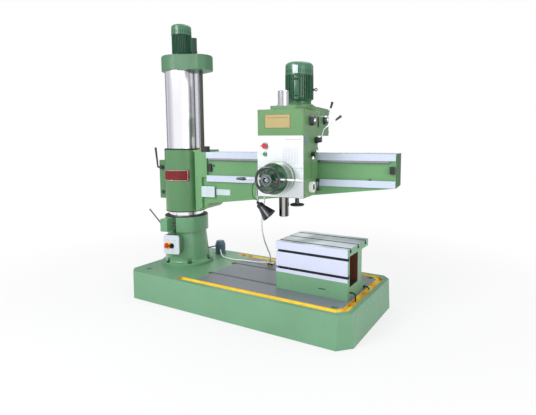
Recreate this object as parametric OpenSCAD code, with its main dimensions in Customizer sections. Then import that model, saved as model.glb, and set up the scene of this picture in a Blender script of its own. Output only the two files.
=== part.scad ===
// Radial arm drill, in millimetres, +Z up.
// The origin is on the floor, on the axis of the round column.
// +X runs along the base, from the column towards the work table.

/* [Base] */
// Column axis to the left end of the base
base_left = 290; // [285:5:340]
// Column axis to the right end of the base
base_right = 2090; // [2000:5:2300]
// Width of the base across its top
base_w = 1054; // [1000:2:1200]
// Height of the base
base_h = 270; // [240:2:320]
// How far each side wall leans out at its foot
base_draft = 16; // [4:1:30]
// Cut across each corner of the base, seen from above
corner_cut = 87; // [40:1:100]
// Thickness of the deck over the hollow underside
deck_t = 80; // [70:1:100]
// Thickness of the ribs under the deck
rib_t = 28; // [20:1:40]
// Widest hollow between two ribs
hollow_w = 230; // [160:5:240]
// Centre line of the coolant gutter, in from the edge
gutter_inset = 70; // [64:1:72]
// Width of the coolant gutter
gutter_w = 54; // [44:1:56]
// Depth of the coolant gutter
gutter_d = 18; // [12:1:24]
// Column axis to the machined part of the deck
deck_start = 522; // [480:2:560]
// Height of the machined deck over the painted casting
deck_rise = 2; // [1:0.5:4]
// Diameter of the foundation bolt holes
anchor_d = 28; // [20:1:36]
// Foundation bolt holes, in from the side edges of the base
anchor_inset = 132; // [130:1:150]

/* [T slots] */
// Neck width of the T slots in the base
base_slot_w = 28; // [22:1:32]
// Front edge of the base to its first T slot
base_slot_edge = 329; // [310:1:340]
// Distance between the two T slots of the base
base_slot_pitch = 361; // [340:1:370]
// Neck width of the T slots in the table
table_slot_w = 22; // [18:1:24]
// Edge of the table to its first T slot
table_slot_edge = 60; // [50:1:70]
// Distance between the T slots in the table top
table_slot_pitch = 165; // [150:1:170]
// Table top down to the upper T slot in its front
front_slot_drop = 80; // [78:1:86]
// Distance between the T slots in the table front
front_slot_pitch = 148; // [130:1:160]

/* [Work table] */
// Length of the table
table_l = 678; // [600:2:720]
// Depth of the table top, front to back
table_d = 460; // [440:2:500]
// Height of the table
table_h = 420; // [390:2:460]
// Depth of the box under the table top
table_box_d = 307; // [290:1:330]
// Thickness of the table top
table_top_t = 60; // [54:1:70]
// Thickness of the front wall of the table
table_wall = 42; // [40:1:50]
// Thickness of the back wall of the table
table_back_wall = 90; // [60:1:110]
// Thickness of the floor of the table
table_floor_t = 105; // [95:1:115]
// Right end of the base to the right end of the table
table_end_gap = 122; // [118:1:140]
// Front edge of the base to the front of the table
table_front_gap = 280; // [270:1:300]

/* [Column] */
// Diameter of the bright column
column_d = 350; // [330:2:370]
// Wall of the bright column
column_wall = 40; // [30:1:50]
// Floor to the top of the bright column
column_top = 2259; // [2240:2:2400]
// Outside diameter of the fixed inner column
inner_d = 240; // [200:2:244]
// Radial running clearance of the bearings and sliding sleeves
run_gap = 0.05; // [0.02:0.01:0.1]
// Gap between faces that pass each other
face_gap = 0.3; // [0.2:0.05:0.5]

/* [Column foot] */
// Wall of the clamp collar round the column
collar_wall = 46; // [40:1:60]
// Floor to the underside of the clamp collar
collar_bottom = 625; // [610:1:660]
// Floor to the top of the clamp collar
collar_top = 779; // [770:1:790]
// Thickness of the bolting flange
flange_t = 34; // [26:1:44]
// Width of the flange round the foot
flange_w = 36; // [32:1:40]
// Width of the slit in the collar
slit_w = 40; // [20:1:46]
// Direction of the slit, seen from above
slit_angle = -80; // [-90:1:-70]

/* [Arm] */
// Direction of the arm at rest, seen from above
arm_angle = 8.7; // [0:0.1:12]
// Wall of the sleeve that slides on the column
sleeve_wall = 29; // [26:1:36]
// Floor to the underside of the sleeve
sleeve_bottom = 830; // [826:1:840]
// Floor to the top of the sleeve
sleeve_top = 1471; // [1460:1:1500]
// Column axis to the end of the arm
arm_reach = 2222; // [2180:2:2400]
// Column axis to the front of the arm ways
arm_front = 188; // [180:1:200]
// Column axis to the back of the arm
arm_back = 138; // [120:1:160]
// Floor to the top of the upper way
way_top = 1448; // [1440:1:1456]
// Floor to the underside of the lower way
way_bottom = 1159; // [1150:1:1165]
// Height of each way
way_h = 60; // [50:1:66]
// How far the ways stand out from the web
way_rise = 23; // [22:1:28]
// Column axis to the start of the ways
way_start = 383; // [370:1:385]
// Underside of the arm at the start of the ways
arm_root_z = 938; // [935:1:960]
// Underside of the arm at its end
arm_tip_z = 1157; // [1130:1:1158]
// Module of the rack on the arm
rack_module = 4; // [4:1:4]
// Teeth of the pinion that runs on the rack
rack_pinion_teeth = 15; // [15:1:15]

/* [Lift] */
// Diameter of the lift screw
lift_screw_d = 38; // [34:1:42]
// Column axis to the lift screw axis
lift_screw_r = 236; // [234:1:244]
// Direction of the lift screw, from the arm
lift_screw_angle = -5; // [-12:1:4]
// Height of the gear cap on the column
cap_h = 146; // [130:1:160]
// Radius of the gear cap round the column
cap_r = 205; // [200:1:215]
// Radius of the gear cap round the lift screw
cap_screw_r = 120; // [105:1:130]
// Diameter over the ribs of the lift motor
lift_motor_d = 196; // [170:2:210]
// Height of the lift motor with its fan cover
lift_motor_h = 321; // [300:1:350]

/* [Drill head] */
// Column axis to the spindle axis
head_reach = 1343; // [1300:1:1380]
// Width of the head
head_w = 408; // [400:2:430]
// Column axis to the front of the head
head_front = 575; // [570:1:590]
// Depth of the lower part of the head
head_d = 352; // [340:1:360]
// How far the gear housing reaches back over the arm
head_back = 110; // [90:1:130]
// Floor to the underside of the head
head_bottom = 1095; // [1090:1:1100]
// Floor to the underside of the gear housing
housing_bottom = 1604; // [1595:1:1612]
// Floor to the top of the head
head_top = 1812; // [1800:1:1830]
// Column axis to the spindle axis, across the arm
spindle_v = 500; // [498:1:504]
// Diameter of the quill
quill_d = 84; // [80:1:86]
// Floor to the spindle nose
nose_z = 925; // [915:1:935]
// Small diameter of the spindle taper at its mouth
taper_d = 44.4; // [40:0.1:48]
// Diameter of the bright spindle cover
cover_d = 92; // [80:1:96]
// Diameter over the ribs of the main motor
motor_d = 254; // [230:2:264]
// Height of the main motor with its fan cover
motor_h = 359; // [340:1:380]
// Column axis to the main motor axis, across the arm
motor_v = 135; // [125:1:150]

/* [Feed] */
// Floor to the axis of the feed hub
feed_z = 1262; // [1255:1:1270]
// Spindle axis to the feed hub axis
feed_offset = 7; // [5:0.5:7]
// Diameter of the feed drum
drum_d = 256; // [230:2:262]
// Diameter of the graduated ring
dial_d = 272; // [260:2:280]
// Module of the quill rack and its pinion
quill_module = 3; // [3:1:3]
// Teeth of the pinion that moves the quill
quill_pinion_teeth = 13; // [13:1:13]
// Module of the hub gears
hub_module = 2.5; // [2.5:0.5:2.5]
// Teeth of each hub gear
hub_teeth = 18; // [18:1:18]
// Length of a feed lever from the hub axis
feed_lever_l = 290; // [250:2:300]
// Outside diameter of the handwheel
wheel_d = 212; // [190:2:230]
// Outside diameter of the fine feed wheel
fine_wheel_d = 124; // [100:2:126]

/* [Hidden] */
$fn = 96;

casting_green = [0.44, 0.63, 0.49];
housing_green = [0.31, 0.55, 0.33];
motor_green = [0.22, 0.42, 0.28];
bright = [0.80, 0.81, 0.84];
grey = [0.55, 0.57, 0.60];
black = [0.08, 0.08, 0.09];
cut = 1;

// Solids between stated planes
module block(x, y, z) translate([x[0], y[0], z[0]]) cube([x[1] - x[0], y[1] - y[0], z[1] - z[0]]);
module rod(r, z, r_top = -1) translate([0, 0, z[0]])
    cylinder(h = z[1] - z[0], r1 = r, r2 = r_top < 0 ? r : r_top);
module ring(r_out, r_in, z) difference() {
    rod(r_out, z);
    rod(r_in, [z[0] - cut, z[1] + cut]);
}
// A rod along y, from y[0] to y[1]
module rod_y(r, x, y, z) translate([x, y[0], z]) rotate([-90, 0, 0]) cylinder(h = y[1] - y[0], r = r);
// A rod along x, from x[0] to x[1]
module rod_x(r, x, y, z) translate([x[0], y, z]) rotate([0, 90, 0]) cylinder(h = x[1] - x[0], r = r);
// Flat outlines
module rounded(w, h, r, steps = 5) polygon([for (q = [0:3], k = [0:steps]) let (a = (q + k / steps) * 90,
    i = q == 0 || q == 3 ? 1 : -1, j = q < 2 ? 1 : -1)
    [i * (w / 2 - r) + r * cos(a), j * (h / 2 - r) + r * sin(a)]]);
// Everything that turns with the arm stands in the frame of the arm
module on_arm() rotate([0, 0, arm_angle]) children();

// A tooth flank as half angles of the tooth at growing radii
function half_tooth(teeth, rp, rb, r, slack, angle) = let (
    at = r <= rb ? 0 : acos(rb / r),
    inv = tan(at) * 180 / PI - at,
    inv0 = tan(angle) * 180 / PI - angle
) 90 / teeth - slack / 2 / rp * 180 / PI + inv0 - inv;
// Outline of an involute gear with a tooth centred on the angle start
function gear_outline(m, teeth, start = 0, slack = 0.3, angle = 25) = let (
    rp = m * teeth / 2,
    rb = rp * cos(angle),
    ra = rp + 0.9 * m,
    rf = rp - 1.15 * m,
    radii = [rf, max(rb, rf + 0.2), (max(rb, rf) + ra) / 2, ra]
) [for (i = [0:teeth - 1], side = [-1, 1], k = [0:3]) let (
    r = side < 0 ? radii[k] : radii[3 - k],
    a = start + i * 360 / teeth + side * half_tooth(teeth, rp, rb, r, slack, angle)
) r * [cos(a), sin(a)]];
// Outline of a rack along x, its teeth up, its pitch line on y = 0, a gap centred on x = gap
function rack_outline(m, x0, x1, gap, back, slack = 0.3, angle = 25) = let (
    pitch = PI * m,
    top = 0.9 * m,
    root = -1.15 * m,
    first = ceil((x0 - gap) / pitch),
    last = floor((x1 - gap) / pitch) - 1,
    half = pitch / 4 - slack / 4
) concat([[x0, back], [x0, root]],
    [for (i = [first:last], p = [[-1, root], [-1, top], [1, top], [1, root]])
        [gap + (i + 0.5) * pitch + p[0] * (half - tan(angle) * p[1]), p[1]]],
    [[x1, root], [x1, back]]);
// Outline of a ribbed motor body
function ribbed_outline(ribs, r_rib, r_body, rib_w) =
    [for (i = [0:ribs - 1], p = [[-1, r_body], [-1, r_rib], [1, r_rib], [1, r_body]])
        let (a = i * 360 / ribs + p[0] * asin(rib_w / 2 / p[1])) p[1] * [cos(a), sin(a)]];

// A tube along hand chosen points: a ring of sides at each point, square to the route
function unit(v) = v / norm(v);
function route_way(p, i) = unit(p[min(i + 1, len(p) - 1)] - p[max(i - 1, 0)]);
function smooth(p, steps) = [for (i = [0:len(p) - 2], k = [0:steps - 1]) let (
    a = p[max(i - 1, 0)], b = p[i], c = p[i + 1], d = p[min(i + 2, len(p) - 1)], t = k / steps
) b + t * (c - a) / 2 + t * t * (a - 2.5 * b + 2 * c - d / 2)
    + t * t * t * (1.5 * b - 1.5 * c + d / 2 - a / 2), p[len(p) - 1]];
module hose(route, d, sides = 8) {
    n = len(route);
    side_of = [1, 0.13, 0.05];
    rings = [for (i = [0:n - 1]) let (
        w = route_way(route, i),
        s = unit(cross(w, side_of)),
        u = cross(s, w)
    ) for (k = [0:sides - 1]) let (a = 360 * k / sides) route[i] + d / 2 * (cos(a) * s + sin(a) * u)];
    walls = [for (i = [0:n - 2], k = [0:sides - 1]) let (
        k1 = (k + 1) % sides, a = i * sides + k, b = i * sides + k1,
        c = (i + 1) * sides + k1, e = (i + 1) * sides + k
    ) each [[a, b, c], [a, c, e]]];
    ends = [[for (k = [sides - 1:-1:0]) k], [for (k = [0:sides - 1]) (n - 1) * sides + k]];
    polyhedron(points = rings, faces = concat(walls, ends), convexity = 4);
}

// Base
base_y = base_w / 2;
deck_z = base_h + deck_rise;
gutter_y = base_y - gutter_inset;
gutter_x = base_right - gutter_inset;
gutter_corner = 60;
gutter_start_front = 333;
gutter_start_back = 380;
base_slot_neck = 24;
base_slot_foot_w = base_slot_w + 22;
base_slot_foot_h = 20;
base_slot_end = gutter_x - gutter_w / 2 - 40;
base_slot_start = deck_start - 16;
slot_pocket_r = 33;
anchor_x = [-135, base_right - 165];
anchor_y = base_y - anchor_inset;
column_r = column_d / 2;
collar_r = column_r + collar_wall;
foot_r = collar_r + 5;
flange_r = foot_r + flange_w;
land_x = flange_r + 68;
hollow_end = anchor_x[1] - 60;
function fitted(span) = floor((span + rib_t) / (hollow_w + rib_t));

// The U of the gutter, moved out by d from its centre line
function gutter_side(d) = let (t = d * tan(22.5)) [
    [gutter_start_front, -gutter_y - d], [gutter_x - gutter_corner + t, -gutter_y - d],
    [gutter_x + d, -gutter_y + gutter_corner - t], [gutter_x + d, gutter_y - gutter_corner + t],
    [gutter_x - gutter_corner + t, gutter_y + d], [gutter_start_back, gutter_y + d]];
function backwards(v) = [for (i = [len(v) - 1:-1:0]) v[i]];
// T slot along x, its mouth on the plane z = 0
module t_slot(x0, x1, w, neck, foot_w, foot_h) {
    block([x0, x1], [-w / 2, w / 2], [-neck - cut, cut]);
    block([x0, x1], [-foot_w / 2, foot_w / 2], [-neck - foot_h, -neck]);
}
module base_hull() {
    z = [0, base_h];
    intersection() {
        translate([-base_left - base_draft, 0, 0]) rotate([90, 0, 90])
            linear_extrude(base_left + base_right + 2 * base_draft)
                polygon([[-base_y - base_draft, z[0]], [base_y + base_draft, z[0]],
                    [base_y, z[1]], [-base_y, z[1]]]);
        translate([0, base_y + base_draft + cut, 0]) rotate([90, 0, 0])
            linear_extrude(base_w + 2 * base_draft + 2 * cut)
                polygon([[-base_left - base_draft, z[0]], [base_right + base_draft, z[0]],
                    [base_right, z[1]], [-base_left, z[1]]]);
    }
}
module base() color(casting_green) difference() {
    union() {
        base_hull();
        side = gutter_side(-gutter_w / 2 - 4);
        linear_extrude(deck_z) polygon(concat([[deck_start, side[0][1]]],
            [for (i = [1:4]) side[i]], [[deck_start, side[5][1]]]));
    }
    for (x = [-base_left, base_right], y = [-1, 1])
        translate([x + (x < 0 ? -base_draft : base_draft), y * (base_y + base_draft), -cut])
            rotate([0, 0, 45]) translate([-(corner_cut + base_draft) / sqrt(2),
                -(corner_cut + base_draft) / sqrt(2), 0])
                cube([(corner_cut + base_draft) * sqrt(2), (corner_cut + base_draft) * sqrt(2),
                    deck_z + 2 * cut]);
    translate([0, 0, base_h - gutter_d]) linear_extrude(gutter_d + deck_rise + cut)
        polygon(concat(gutter_side(gutter_w / 2), backwards(gutter_side(-gutter_w / 2))));
    for (i = [0, 1]) translate([0, -base_y + base_slot_edge + i * base_slot_pitch, deck_z]) {
        t_slot(base_slot_start, base_slot_end, base_slot_w, base_slot_neck, base_slot_foot_w,
            base_slot_foot_h);
        translate([base_slot_start, 0, -base_slot_neck - base_slot_foot_h])
            cylinder(h = base_slot_neck + base_slot_foot_h + cut, r = slot_pocket_r);
    }
    for (x = anchor_x, y = [-anchor_y, anchor_y]) translate([x, y, 0]) {
        rod(anchor_d / 2, [-cut, deck_z + cut]);
        rod(anchor_d, [base_h - 20, deck_z + cut]);
    }
    // Hollows between the ribs, open below
    nx = fitted(hollow_end - land_x);
    ny = fitted(base_w - rib_t);
    pitch = hollow_w + rib_t;
    for (i = [0:nx - 1], j = [0:ny - 1])
        translate([land_x + hollow_w / 2 + i * pitch, (j - (ny - 1) / 2) * pitch, -cut])
            linear_extrude(base_h - deck_t + cut) rounded(hollow_w, hollow_w, 20);
}

// Column foot with its split collar
bolt_circle_r = 240;
foot_bolts = 6;
foot_bolt_start = 19;
lug_t = 80;
lug_out = 88;
lug_z = [collar_bottom + 22, collar_top - 6];
clamp_bolt_r = 10;
clamp_bolt_at = column_r + 30;
clamp_z = 705;
flare = 30;
module foot_shape(inside) rotate_extrude() polygon(concat(
    [[inside[0], base_h], [flange_r, base_h], [flange_r, base_h + flange_t - 5],
        [flange_r - 5, base_h + flange_t], [foot_r + flare, base_h + flange_t]],
    [for (a = [22.5:22.5:67.5]) [foot_r + flare - flare * sin(a), base_h + flange_t + flare * (1 - cos(a))]],
    [[foot_r, base_h + flange_t + flare], [column_r + 22, collar_bottom], [collar_r, collar_bottom],
        [collar_r, collar_top - 3], [collar_r - 3, collar_top], [inside[1], collar_top],
        [inside[1], collar_bottom + 30], [inside[0], collar_bottom + 30]]));
module at_slit() rotate([0, 0, slit_angle]) children();
module column_foot() color(casting_green) difference() {
    union() {
        foot_shape([column_r + 6, column_r + run_gap]);
        // The lug stands on the left of the slit, seen from outside
        at_slit() block([column_r + 20, collar_r + lug_out], [-slit_w / 2 - lug_t, -slit_w / 2], lug_z);
    }
    at_slit() {
        block([column_r - 20, collar_r + 10], [-slit_w / 2, slit_w / 2], [collar_bottom - 15, collar_top + cut]);
        rod_y(clamp_bolt_r + face_gap, clamp_bolt_at, [clamp_lever_y - cut, slit_w / 2 + 34], clamp_z);
        rod_y(22, clamp_bolt_at, [clamp_lever_y - 60, clamp_lever_y], clamp_z);
    }
    for (i = [0:foot_bolts - 1]) rotate([0, 0, foot_bolt_start + i * 360 / foot_bolts])
        translate([bolt_circle_r, 0, 0]) {
            rod(13, [base_h - cut, base_h + flange_t + cut]);
            block([-27, 50], [-21, 21], [base_h + flange_t, base_h + flange_t + 46]);
        }
}
table_bolt_x = [150, 528];
module hex_bolt(head_r, head_h, shank_r, shank_l) {
    cylinder(h = head_h, r = head_r, $fn = 6);
    translate([0, 0, -shank_l]) cylinder(h = shank_l + cut, r = shank_r);
}
module base_bolts() color(grey) {
    for (i = [0:foot_bolts - 1]) rotate([0, 0, foot_bolt_start + i * 360 / foot_bolts])
        translate([bolt_circle_r, 0, base_h + flange_t]) hex_bolt(18, 15, 12, flange_t);
    for (x = table_bolt_x) translate([table_x + x, base_slot2_y, deck_z]) {
        rod(21, [table_flange_t, table_flange_t + 4]);
        translate([0, 0, table_flange_t + 4]) cylinder(h = 19, r = 18, $fn = 6);
        rod(12, [-base_slot_neck - 4, table_flange_t + 36]);
        block([-22, 22], [-22, 22], [-base_slot_neck - 18, -base_slot_neck - face_gap]);
    }
}

// Columns and their bearings
inner_r = inner_d / 2;
bore_r = column_r - column_wall;
head_plate_t = 34;
column_bottom = base_h + 42;
bearing_h = 40;
thrust_z = column_top - head_plate_t - 40;
module inner_column() color(grey) difference() {
    union() {
        rod(column_r - 7, [base_h, base_h + 30]);
        rod(inner_r, [base_h, thrust_z]);
    }
    rod(inner_r - 30, [base_h - cut, thrust_z + cut]);
}
module column_bearings() color(bright) {
    for (z = [column_bottom + 60, thrust_z - 100])
        ring(bore_r - run_gap, inner_r, [z, z + bearing_h]);
    ring(inner_r - 2, inner_r - 45, [thrust_z, column_top - head_plate_t - face_gap]);
}
module column() color(bright) on_arm() difference() {
    rod(column_r, [column_bottom, column_top]);
    rod(bore_r, [column_bottom - cut, column_top - head_plate_t]);
}
module collar_seal() color(black) ring(collar_r - 3, column_r + run_gap, [collar_top, collar_top + 7]);

// Column clamp: the lever turns the bolt that draws the slit together
clamp_lever_y = -slit_w / 2 - lug_t;
module column_clamp_lever() color(grey) at_slit() {
    rod_y(clamp_bolt_r, clamp_bolt_at, [clamp_lever_y - 10, slit_w / 2 + 30], clamp_z);
    rod_y(19, clamp_bolt_at, [clamp_lever_y - 30, clamp_lever_y - face_gap], clamp_z);
    rod_x(7, [clamp_bolt_at + 10, clamp_bolt_at + 52], clamp_lever_y - 18, clamp_z);
    translate([clamp_bolt_at + 52, clamp_lever_y - 18, clamp_z]) {
        sphere(r = 7, $fn = 48);
        rotate([0, 43, 0]) rod(7, [0, 250], 6);
        rotate([0, 43, 0]) translate([0, 0, 250]) sphere(r = 10, $fn = 48);
    }
}

// Switch box on the foot
box_angle = -77;
box_w = 176;
box_h = 192;
box_out = 300;
box_d = 60;
box_z = 421;
box_mid = box_z + box_h / 2;
switch_t = [-52, 6];
switch_z = box_z + 86;
module at_box() rotate([0, 0, box_angle]) children();
module switch_box() color([0.92, 0.93, 0.93]) at_box() difference() {
    union() {
        translate([box_out - box_d, 0, box_mid]) rotate([90, 0, 90]) linear_extrude(box_d)
            rounded(box_w, box_h, 16);
        block([column_r, box_out - box_d + 1], [-55, 55], [box_z + 20, box_z + box_h - 20]);
    }
    foot_shape([0, 0]);
    for (t = switch_t) rod_x(7.5, [box_out - 20, box_out + cut], t, switch_z);
}
module rotary_switch(t, plate_r, knob_r) at_box() {
    rod_x(7.3, [box_out - 15, box_out + 10], t, switch_z);
    rod_x(plate_r, [box_out + face_gap, box_out + 6], t, switch_z);
    rod_x(knob_r, [box_out + 5, box_out + 14], t, switch_z);
    block([box_out + 13, box_out + 34], [t - 6, t + 6], [switch_z - knob_r, switch_z + knob_r]);
}
module power_switch() color([0.85, 0.25, 0.10]) rotary_switch(switch_t[0], 27, 20);
module pump_switch() color(black) rotary_switch(switch_t[1], 26, 18);

// Work table: a box with a tunnel, T slots in its top and its front
table_x = base_right - table_end_gap - table_l;
table_y = -base_y + table_front_gap;
table_top = deck_z + table_h;
table_slot_neck = 18;
table_slot_foot_w = table_slot_w + 15;
table_slot_foot_h = 16;
table_flange_t = 28;
table_flange_d = 135;
table_end_wall = 40;
drain_y = table_y + 47;
base_slot2_y = -base_y + base_slot_edge + base_slot_pitch;
module work_table() color(casting_green) difference() {
    union() {
        translate([table_x, table_y, deck_z]) {
            block([0, table_l], [0, table_box_d], [0, table_h]);
            block([0, table_l], [0, table_d], [table_h - table_top_t, table_h]);
            block([0, table_l], [0, table_box_d + table_flange_d], [0, table_flange_t]);
            // Brackets under the part of the top that overhangs
            for (x = [table_l * 0.25, table_l * 0.75]) translate([x - 12, table_box_d - cut, 0])
                rotate([90, 0, 90]) linear_extrude(24)
                    polygon([[0, table_h - table_top_t + cut], [table_d - table_box_d - 12, table_h - table_top_t + cut],
                        [0, table_h - table_top_t - 130]]);
        }
    }
    translate([table_x, table_y, deck_z]) {
        block([table_end_wall, table_l + cut], [table_wall, table_box_d - table_back_wall],
            [table_floor_t, table_h - table_top_t]);
        for (i = [0:2]) translate([0, table_slot_edge + i * table_slot_pitch, table_h])
            t_slot(-cut, table_l + cut, table_slot_w, table_slot_neck, table_slot_foot_w, table_slot_foot_h);
        for (i = [0, 1]) translate([0, 0, table_h - front_slot_drop - i * front_slot_pitch])
            rotate([90, 0, 0]) t_slot(-cut, table_l + cut, table_slot_w, table_slot_neck,
                table_slot_foot_w, table_slot_foot_h);
    }
    for (x = table_bolt_x) translate([table_x + x, base_slot2_y, deck_z]) rod(12.5, [-cut, table_flange_t + cut]);
    // Draw of the tunnel drain
    rod_x(drain_r - 1, [table_x + table_l - 60, table_x + table_l + cut], drain_y, deck_z + 60);
}

// Coolant: pump, tap and short drains
pump_x = 110;
pump_y = 400;
module coolant_pump() color([0.40, 0.48, 0.56]) translate([pump_x, pump_y, base_h]) {
    rod(62, [0, 10]);
    rod(54, [10, 112]);
    rod(56, [24, 30]);
    rod(54, [112, 138], 44);
    // Outlet stub towards the deck, and the conduit towards the column foot
    rotate([0, 0, -50]) rod_x(11, [40, 76], 0, 60);
    rotate([0, 0, 254.5]) rod_x(8, [40, 201], 0, 95);
}
tap_x = 888;
tap_y = 266;
tap_base_h = 40;
module coolant_tap() color([0.72, 0.72, 0.60]) translate([tap_x, tap_y, deck_z]) {
    rod(24, [0, 8]);
    rod(14, [8, 58], 11);
    rod_x(11, [-34, 46], 0, 26);
    rod_x(15, [-38, -20], 0, 26);
    rod_x(15, [26, 42], 0, 26);
    rod_y(9, 0, [-30, 0], 26);
}
module tap_handle() color(black) translate([tap_x, tap_y, deck_z]) {
    rod_y(10, 0, [-42, -30 - face_gap], 26);
    block([-6, 52], [-41, -35], [20, 32]);
}
drain_r = 6.5;
module bent_drain(y, z0, run, drop) translate([table_x + table_l, y, z0]) {
    rod_x(drain_r, [0, run], 0, 0);
    translate([run, 0, -drain_r * 3]) rotate([90, 0, 0]) rotate_extrude(angle = 90)
        translate([drain_r * 3, 0]) circle(drain_r, $fn = 24);
    translate([run + drain_r * 3, 0, 0]) rod(drain_r, [-drop, -drain_r * 3]);
}
module drain_tubes() color(black) {
    // The ends hang over the gutter
    bent_drain(drain_y, deck_z + 60, 31, 66);
    bent_drain(base_slot2_y - 50, deck_z + table_flange_t / 2, 31, 22);
    translate([table_x + table_l, base_slot2_y - 50, deck_z + table_flange_t / 2]) rod_x(12, [0, 10], 0, 0);
}

// Gear cap and lift motor on top of the column
screw_at = lift_screw_r * [cos(lift_screw_angle), sin(lift_screw_angle)];
cap_top = column_top + cap_h;
tangent = acos((cap_r - cap_screw_r) / lift_screw_r);
module cap_outline(extra) {
    side = [lift_screw_angle + tangent, lift_screw_angle - tangent];
    circle(cap_r + extra);
    translate(screw_at) circle(cap_screw_r + extra);
    // The straight walls start a little inside the two round ones
    r = [cap_r + extra - 0.5, cap_screw_r + extra - 0.5];
    polygon([r[0] * [cos(side[0]), sin(side[0])], screw_at + r[1] * [cos(side[0]), sin(side[0])],
        screw_at + r[1] * [cos(side[1]), sin(side[1])], r[0] * [cos(side[1]), sin(side[1])]]);
}
screw_in_cap = 60;
module column_cap() color(casting_green) on_arm() difference() {
    union() {
        translate([0, 0, column_top]) linear_extrude(cap_h - 10) cap_outline(0);
        translate([0, 0, cap_top - 10 - cut]) linear_extrude(10 + cut) cap_outline(-8);
    }
    translate([screw_at[0], screw_at[1], 0]) rod(lift_screw_d / 2 + run_gap, [column_top - cut, column_top + screw_in_cap]);
}
lift_motor_r = lift_motor_d / 2;
fan_h = 0.325;
lift_fan_z = round(cap_top + lift_motor_h * (1 - fan_h));
module motor_body(r, z, flange_r, foot_h, ribs) {
    rod(flange_r, [z[0], z[0] + foot_h]);
    rod(r * 0.8, [z[0] + foot_h - cut, z[0] + foot_h + 30], r * 0.94);
    translate([0, 0, z[0] + foot_h + 24]) linear_extrude(z[1] - z[0] - foot_h - 24)
        polygon(ribbed_outline(ribs, r, r * 0.87, r * 0.045));
}
module fan_cover(r, z) rotate_extrude() polygon(concat([[0, z[0]], [r, z[0]], [r, z[1] - r * 0.28]],
    [for (a = [15:15:75]) [r * 0.72 + r * 0.28 * cos(a), z[1] - r * 0.28 + r * 0.28 * sin(a)]],
    [[r * 0.72, z[1]], [0, z[1]]]));
module lift_motor() color(motor_green) on_arm() {
    motor_body(lift_motor_r, [cap_top, lift_fan_z], lift_motor_r + 16, 16, 36);
    // Terminal box on the side towards the arm
    box_in = lift_motor_r * 0.8;
    rotate([0, 0, 36]) {
        block([box_in, lift_motor_r + 48], [-44, 44], [cap_top + 66, cap_top + 200]);
        block([box_in, lift_motor_r + 54], [-48, 48], [cap_top + 58, cap_top + 66]);
    }
}
module lift_fan_cover() color(motor_green) on_arm() fan_cover(lift_motor_r * 1.01, [lift_fan_z, cap_top + lift_motor_h]);
nut_r = lift_screw_d / 2 + 11;
nut_h = 90;
screw_bottom = sleeve_top - nut_h - 60;
module lift_screw() color(grey) on_arm() translate([screw_at[0], screw_at[1], 0])
    rod(lift_screw_d / 2, [screw_bottom, column_top + screw_in_cap - face_gap]);

// Arm
sleeve_r = column_r + sleeve_wall;
web_y = -arm_front + way_rise;
lug_x = -sleeve_r - 78;
lug_z_arm = [sleeve_bottom + 120, sleeve_top - 116];
arm_bolt_x = -sleeve_r - 42;
arm_bolt_z = [1016, 1280];
arm_bolt_r = 13;
boss_r = 62;
window_w = 210;
window_pitch = 330;
window_count = 5;
function arm_under(x) = arm_root_z + (arm_tip_z - arm_root_z) * (x - way_start) / (arm_reach - way_start);
way_z = [way_top, way_bottom + way_h];
hook_slot_y = [-arm_front + 38, -arm_front + 78];
hook_slot_d = 25;
root_x = sleeve_r + 30;
root_neck_y = -88;
module arm_girder() {
    // The full depth starts clear of the sleeve, a narrower neck joins the two
    translate([0, arm_back, 0]) rotate([90, 0, 0]) linear_extrude(arm_back - web_y)
        polygon([[root_x, way_top], [arm_reach, way_top], [arm_reach, arm_tip_z], [way_start, arm_root_z],
            [way_start - 18, arm_root_z - 32], [way_start - 48, arm_root_z - 62],
            [sleeve_r + 50, sleeve_bottom + 24], [root_x, sleeve_bottom + 22]]);
    block([sleeve_r - 60, root_x + cut], [root_neck_y, arm_back], [sleeve_bottom + 22, way_top]);
    for (z = way_z) block([way_start, arm_reach], [-arm_front, web_y + cut], [z - way_h, z]);
}
module arm_windows() for (i = [0:window_count - 1]) {
    x = way_start + 200 + i * window_pitch;
    z0 = arm_under(x - window_w / 2) + 70;
    h = way_top - 70 - z0;
    translate([x, arm_back + cut, z0 + h / 2]) rotate([90, 0, 0])
        linear_extrude(arm_back - web_y - 50) rounded(window_w, min(h, 240), 60);
}
module arm() color(casting_green) on_arm() difference() {
    union() {
        rod(sleeve_r, [sleeve_bottom, sleeve_top]);
        arm_girder();
        // Root blocks in front, flush with the ways
        block([sleeve_r + 47, way_start + 4], [-arm_front, web_y + cut], [way_bottom + way_h - 19, way_top]);
        block([root_x, way_start - 58], [-arm_front, arm_back], [way_top - cut, sleeve_top - 4]);
        block([sleeve_r - 60, root_x + cut], [root_neck_y, arm_back], [way_top - cut, sleeve_top - 4]);
        block([sleeve_r + 73, sleeve_r + 122], [-arm_front, web_y + cut], [arm_root_z - 50, way_bottom + way_h - 19 + cut]);
        // Boss for the lift nut
        translate([screw_at[0], screw_at[1], 0]) rod(boss_r, [way_bottom, sleeve_top]);
        translate([screw_at[0], screw_at[1], 0]) rod(boss_r - 24, [way_bottom - 70, way_bottom + cut], boss_r);
        block([lug_x, -column_r + 20], [-62, 62], lug_z_arm);
    }
    rod(column_r + run_gap, [sleeve_bottom - cut, sleeve_top + cut]);
    block([lug_x - cut, -column_r + 10], [-4, 4], [sleeve_bottom - cut, sleeve_top + cut]);
    block([way_start, arm_reach + cut], hook_slot_y, [way_top - hook_slot_d, way_top + cut]);
    for (z = arm_bolt_z) rod_y(arm_bolt_r + face_gap, arm_bolt_x, [-70, 70], z);
    translate([screw_at[0], screw_at[1], 0]) {
        rod(lift_screw_d / 2 + 3, [sleeve_bottom - cut, sleeve_top + cut]);
        rod(nut_r + run_gap, [sleeve_top - nut_h, sleeve_top + cut]);
    }
    arm_windows();
}
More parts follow.
